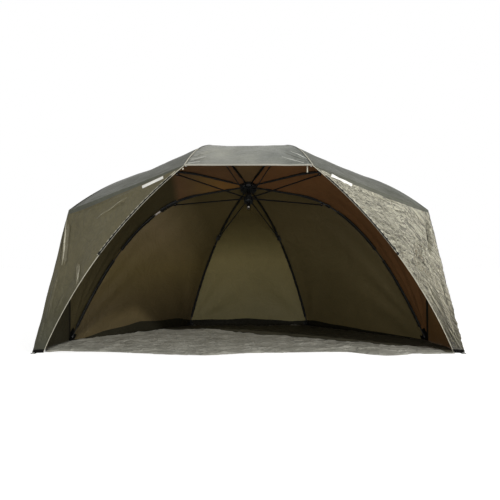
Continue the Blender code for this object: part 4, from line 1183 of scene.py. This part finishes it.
# the ferrule that each outer length is glued in, and the rivet heads on the brackets
for rib in ribs:
    # the left side rib's ferrule is larger and pale metal, a painted highlight where it catches the light; the others
    # are dark tube
    start, radius, key = (0.652, 0.0078, "ferrule") if rib.name == "side_left" else (0.604, 0.0058, "tube")
    ring = radius + 0.0007 * np.cos(np.linspace(0, 6 * math.pi, 16))
    s = np.linspace(start, start + 0.052, 16)
    ferrule = round_rib(f"ferrule_{rib.name}", rib, s, 0, ring, ring, 16, key, 0.002)
    place(ferrule, follow_rib(rib, True), "bright_metal", flattened=False)
    pin = next(j["pos_m"] for j in frame["joints"] if j["name"] == f"{rib.name}_stretcher")
    up = rib.normal(0.53)
    aside = unit(np.cross(rib.across, up))
    beyond = EAR_HALF_WIDTH + np.array((-0.0004, 0.0006, 0.0013, 0.0017))[:, None]
    radii = np.array((0.0036, 0.0036, 0.0026, 0.0006))[:, None]
    for number, face in enumerate((-1, 1), 1):
        centre = np.array(pin) + rib.across * face * beyond
        head = swept(f"rivet_{rib.name}_{number}", centre, aside * radii, up * radii, round_profile(1.0, 14), "bright")
        place(head, follow_rib(rib, False), "bright_metal", flattened=False)


def foot_pocket(kind, side, spread, height, key):
    """A pocket of heavy cloth on the inside of the roof, where a rib's end stands."""
    rib = rib_named[f"{kind}_{side}"]
    column = ribs.index(rib) * GORE_COLUMNS + SIGN[side] * np.linspace(*spread, 24)
    tall = height * (1 - 0.12 * np.cos(np.linspace(0, 2 * math.pi, 24))) * (1 + 0.05 * np.sin(column * 4))
    ends = (height_row(column, tall), column), (HEM_ROW - 0.2, column)
    pocket = strip(f"foot_pocket_{kind}_{side}", roof, *ends, key, -0.006, -0.003, 10)
    place(pocket, follow_rib(rib, True), "webbing")


for side in SIDES:
    foot_pocket("side", side, (-1.7, 0.6), 0.062, "black")
    # a black pad where the wing, the roof and the ground meet
    corner = wing_corners(side)[2] + np.array((-0.01 * SIGN[side], -0.004, 0))
    centre = corner + np.linspace(0.0006, 0.03, 10)[:, None] * UP
    pad = swept(f"heel_pad_{side}", centre, (0.013, 0, 0), (0, 0.013, 0), round_profile(1.0, 14), "black", 0.006)
    place(pad, follow_rib(rib_named[f"side_{side}"], True), "webbing")
    foot_pocket("rear", side, (-1.3, 0.8), 0.046, "sleeve")

# small pale tabs behind the brow's corners
for side, x, low, high, width in (("right", 0.349, 0.003, 0.041, 0.0068), ("left", -0.389, 0.012, 0.024, 0.0095)):
    rib = rib_named[f"front_{side}"]
    corner = roof.at(HEM_ROW, ribs.index(rib) * GORE_COLUMNS)[0]
    drop = np.linspace(low, high, 18)
    centre = np.array((x, corner[1] + 0.01, corner[2])) - drop[:, None] * UP
    centre[:, 1] += 0.002 * np.sin(drop * 90)
    tab = swept(f"brow_tab_{side}", centre, (1.0, 0, 0), (0, -1.0, 0), tape_profile(width, 0.0018), "piping", 0.003)
    place(tab, follow_rib(rib, True), flattened=False)

# ---------------------------------------------------------------- groundsheet
FLOOR_COLUMNS = 230
FLOOR_ROWS = 120
FLOOR_INSET = 0.0045
FLOOR_FRONT_AHEAD = 0.03
FLOOR_FRONT_WAVE = 0.14
FLOOR_FLAT_FROM = 0.18
# how the front edge wanders: share of the half width, share of the wave
FLOOR_EDGE = (
    (-1.0, 0.55), (-0.93, 0.9), (-0.8, 0.72), (-0.22, -0.46), (0.06, 0.32), (0.46, 0.62), (0.66, -0.58), (0.82, 0.0),
    (1.0, 0.05),
)


def floor_front(share):
    for (x0, y0), (x1, y1) in zip(FLOOR_EDGE, FLOOR_EDGE[1:]):
        if share <= x1:
            ease = (1 - math.cos(math.pi * (share - x0) / (x1 - x0))) / 2
            return y0 + (y1 - y0) * ease
    return FLOOR_EDGE[-1][1]


def floor_points():
    _, _, heel, peg, _ = wing_corners("right")
    rear = rib_named["rear_right"]
    back = rear.over(rear.cloth_end, CLOTH_ABOVE_RIB)
    flat = peg + (heel - peg) * FLOOR_FLAT_FROM / (heel[1] - peg[1])
    first, last = (peg[0] - FOOT_INSET, peg[1] - FLOOR_FRONT_AHEAD), (back[0], back[1] - FLOOR_INSET)
    stops = np.array((first, flat[:2], heel[:2], (heel[:2] + back[:2]) / 2, last))
    share = np.linspace(-1, 1, FLOOR_COLUMNS + 1)
    wave = FLOOR_FRONT_WAVE * np.array([floor_front(t) for t in share])
    row = np.linspace(0, 1, FLOOR_ROWS + 1)[:, None] ** 1.25 * (len(stops) - 1)
    x, y = (np.interp(row, range(len(stops)), values) for values in stops.T)
    return np.dstack(((x - FLOOR_INSET) * share, y + wave * np.clip(1 - row, 0, 1), 0 * row * share))


# long folds in the groundsheet: from x, y to x, y, width, height
FLOOR_FOLDS = (
    (0.02, -0.15, 0.62, -0.52, 0.02, 0.009), (0.2, 0.02, 0.7, -0.32, 0.016, 0.007),
    (0.45, -0.5, 0.85, -0.62, 0.018, 0.008), (-0.3, -0.3, 0.1, -0.42, 0.022, 0.007),
    (-0.95, 0.25, -0.45, 0.05, 0.02, 0.006), (-0.8, -0.25, -0.2, -0.15, 0.018, 0.006),
    (-1.15, -0.35, -0.6, -0.5, 0.02, 0.005), (0.55, -0.4, 1, -0.56, 0.014, 0.007),
)
# where the dark band of painted shadow over the sheet's back part ends: (x, y)
SHADE_BAND_EDGE = (
    (-1.3, -0.5), (-1.25, -0.2), (-1.22, 0.1), (-1.13, 0.36), (-0.96, 0.52), (-0.6, 0.565), (-0.3, 0.6),
    (-0.19, 0.48), (-0.1, 0.34), (0.09, 0.19), (0.2, 0.14), (0.34, 0.02), (0.47, -0.06), (0.56, -0.2),
    (0.63, -0.27), (0.8, -0.31), (0.86, -0.46), (1.03, -0.49), (1.06, -0.53), (1.12, -0.5), (1.165, -0.53),
    (1.178, -0.65), (1.186, -0.76), (1.192, -0.83), (1.3, -0.83),
)
points = floor_points()
warped = points + 0.05 * np.stack((field(points, 5, 21), field(points, 5, 22), np.zeros(points.shape[:2])), axis=-1)
warped *= np.array((0.8, 1.7, 1.0))
height = 0.0045 * (field(points, 3.0, 25) * 0.5 + 0.5)
for tall, scale, seed in ((0.0075, 5.5, 23), (0.0045, 12.0, 24)):
    height += tall * np.clip(creased(warped, scale, seed), 0, 1) ** 3
for *ends, width, tall in FLOOR_FOLDS:
    height += tall * ridge(points[..., 0], points[..., 1], ends, width)
near_ends = smooth(0, 0.035, np.linspace(0, 1, FLOOR_ROWS + 1))[:, None]
near_sides = smooth(0, 0.03, 1 - np.abs(np.linspace(-1, 1, FLOOR_COLUMNS + 1)))
points[..., 2] = SUNK + height * (0.35 + 0.65 * near_ends) * (0.2 + 0.8 * near_sides)
floor = Skin(points, lambda p: UP)
# the painted shadow: a dark band over the sheet's back part, from that edge back
column = np.linspace(1.2, FLOOR_COLUMNS - 1.2, 260)
tried = np.linspace(2, FLOOR_ROWS - 6, 900)
spot, _ = floor.at(tried[:, None], column[None, :])
edge = np.interp(spot[..., 0], *zip(*SHADE_BAND_EDGE)) + 0.01 * field(spot, 7.0, 31) + 0.006 * field(spot, 19.0, 32)
ends = (tried[np.argmax(spot[..., 1] > edge, axis=0)], column), (FLOOR_ROWS - 1, column)
shade_band = strip("mud_flap_floor", floor, *ends, "floor_dark", 0.0024, 0.0052, 120)
whole = (0, FLOOR_ROWS), (0, FLOOR_COLUMNS)
sheet, size, area = cloth_piece("groundsheet_cloth", floor, *whole, ["floor", "floor"], 0.0, 0.0016)
column = np.linspace(1, FLOOR_COLUMNS - 1, 200)
hem = on_skin("groundsheet_hem", floor, 0.9, column, tape_profile(0.02), "floor", 0.0015)
# what the groundsheet's pieces ride on; axis, anchor and keep describe a strip on the ground beside the bundle
FLOOR_FOLLOW = {
    "body": "crown_and_cloth", "joint": "side_right_fold", "axis": (1, 0, 0), "anchor": (0.75, 0, 0), "keep": 0.07,
}
for piece in (hem, shade_band, sheet):
    place(piece, FLOOR_FOLLOW, "groundsheet")
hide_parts("groundsheet")

# a pale stud on the front of the pole socket, its white a painted highlight
low, high = (np.array(corner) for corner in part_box("pole_socket"))
inward = np.linspace(0, 1, 9)[:, None]
dome = 0.008 * np.sqrt(1 - 0.98 * inward**2)
centre = (low + high) / 2 + FRONT * 0.0075 * (1 + inward)
stud = swept("socket_stud", centre, dome * TO_RIGHT, dome * AXIS, round_profile(1.0, 20), "patch")
place(stud, {"body": "crown_and_cloth"}, "bright_metal", flattened=False)

# ---------------------------------------------------------------- carried-over CAD nodes
# each finish by how the names start; the first that fits counts
BY_NAME = {
    "moulding": ("crown_", "runner", "bracket_", "tip_cap_side", "tip_cap_rear"),
    "steel": ("catch_", "stretcher_"),
    "tube": ("centre_tube", "rib_tube_"),
    "fibreglass": ("rib_rod_",),
    "bright": ("pole_socket", "tip_cap_", "eyelet_"),
    "black": ("peg_tab_",),
    "tooth": ("zip_",),
    "roof": ("canopy", "wing_"),
    "floor": ("groundsheet",),
}
for name, obj in nodes.items():
    key = next(key for key, starts in BY_NAME.items() if name.startswith(starts))
    for slot in obj.material_slots:
        slot.material = finishes[key]

# ---------------------------------------------------------------- camera, light and floor
SENSOR = 36
scene = bpy.context.scene
scene.view_settings.view_transform = "Standard"
camera_data = bpy.data.cameras.new("camera")
camera_data.sensor_width = SENSOR
camera_data.lens = FOCAL / PICTURE * SENSOR
camera_data.shift_x = 0.5 - CENTRE_X / PICTURE
camera_data.shift_y = CENTRE_Y / PICTURE - 0.5
scene.camera = linked("camera", camera_data)
scene.camera.location = (0, -CAMERA_BACK, CAMERA_UP)
scene.camera.rotation_euler = (math.radians(90), 0, 0)


def lamp(name, kind, energy, colour, aim, location=(0, 0, 0), **settings):
    data = bpy.data.lights.new(name, kind)
    for key, value in dict(energy=energy, color=colour, **settings).items():
        setattr(data, key, value)
    light = linked(name, data)
    light.location = location
    light.rotation_euler = Vector(aim).to_track_quat("-Z", "Y").to_euler()


lamp("key", "SUN", 1.7, (1.0, 0.985, 0.96), (-0.297, 0.755, -0.585), angle=math.radians(2.5))
lamp("softbox", "AREA", 85, (1.0, 0.99, 0.97), (-0.8, 0.44, -0.41), (4.1, -2.46, 2.14), shape="SQUARE", size=2.2)
lamp(
    "fill", "AREA", 42, (1.0, 0.98, 0.94), (0.0, 1.0, -0.16), (0.2, -4.6, 1.1), shape="RECTANGLE", size=3.5, size_y=1.4
)

world = bpy.data.worlds.new("world")
scene.world = world
world.use_nodes = True
tree = world.node_tree
tree.nodes.clear()
soft = add_node(tree, "Background", {"Color": (0.96, 0.98, 1.0, 1), "Strength": 0.28})
white = add_node(tree, "Background", {"Color": (1, 1, 1, 1), "Strength": 1.0})
mixed = add_node(tree, "MixShader", {0: plain_rays(tree), 1: soft.outputs[0], 2: white.outputs[0]})
add_node(tree, "OutputWorld", {"Surface": mixed.outputs[0]})

# the ground that the object stands on: it glows, so that it is nearly as white as the backdrop
FLOOR_REACH = 40
FLOOR_GLOW = 0.55
ground_mesh = bpy.data.meshes.new("studio_floor")
corners = [(x * FLOOR_REACH, y * FLOOR_REACH, -0.001) for x, y in ((-1, -1), (1, -1), (1, 1), (-1, 1))]
ground_mesh.from_pydata(corners, [], [(0, 1, 2, 3)])
ground = linked("studio_floor", ground_mesh)
g = Graph("studio_floor")
ground_mesh.materials.append(g.plain(Base_Color=(0.75, 0.75, 0.75, 1), Roughness=0.9, Specular_IOR_Level=0.1))
glow = g.node("Emission", {"Color": (1, 1, 1, 1), "Strength": g.math("MULTIPLY", plain_rays(g.tree), FLOOR_GLOW)})
glow.name = "glow"
both = g.node("AddShader", {0: g.shader.outputs[0], 1: glow.outputs[0]})
g.tree.links.new(both.outputs[0], g.tree.nodes["Material Output"].inputs["Surface"])
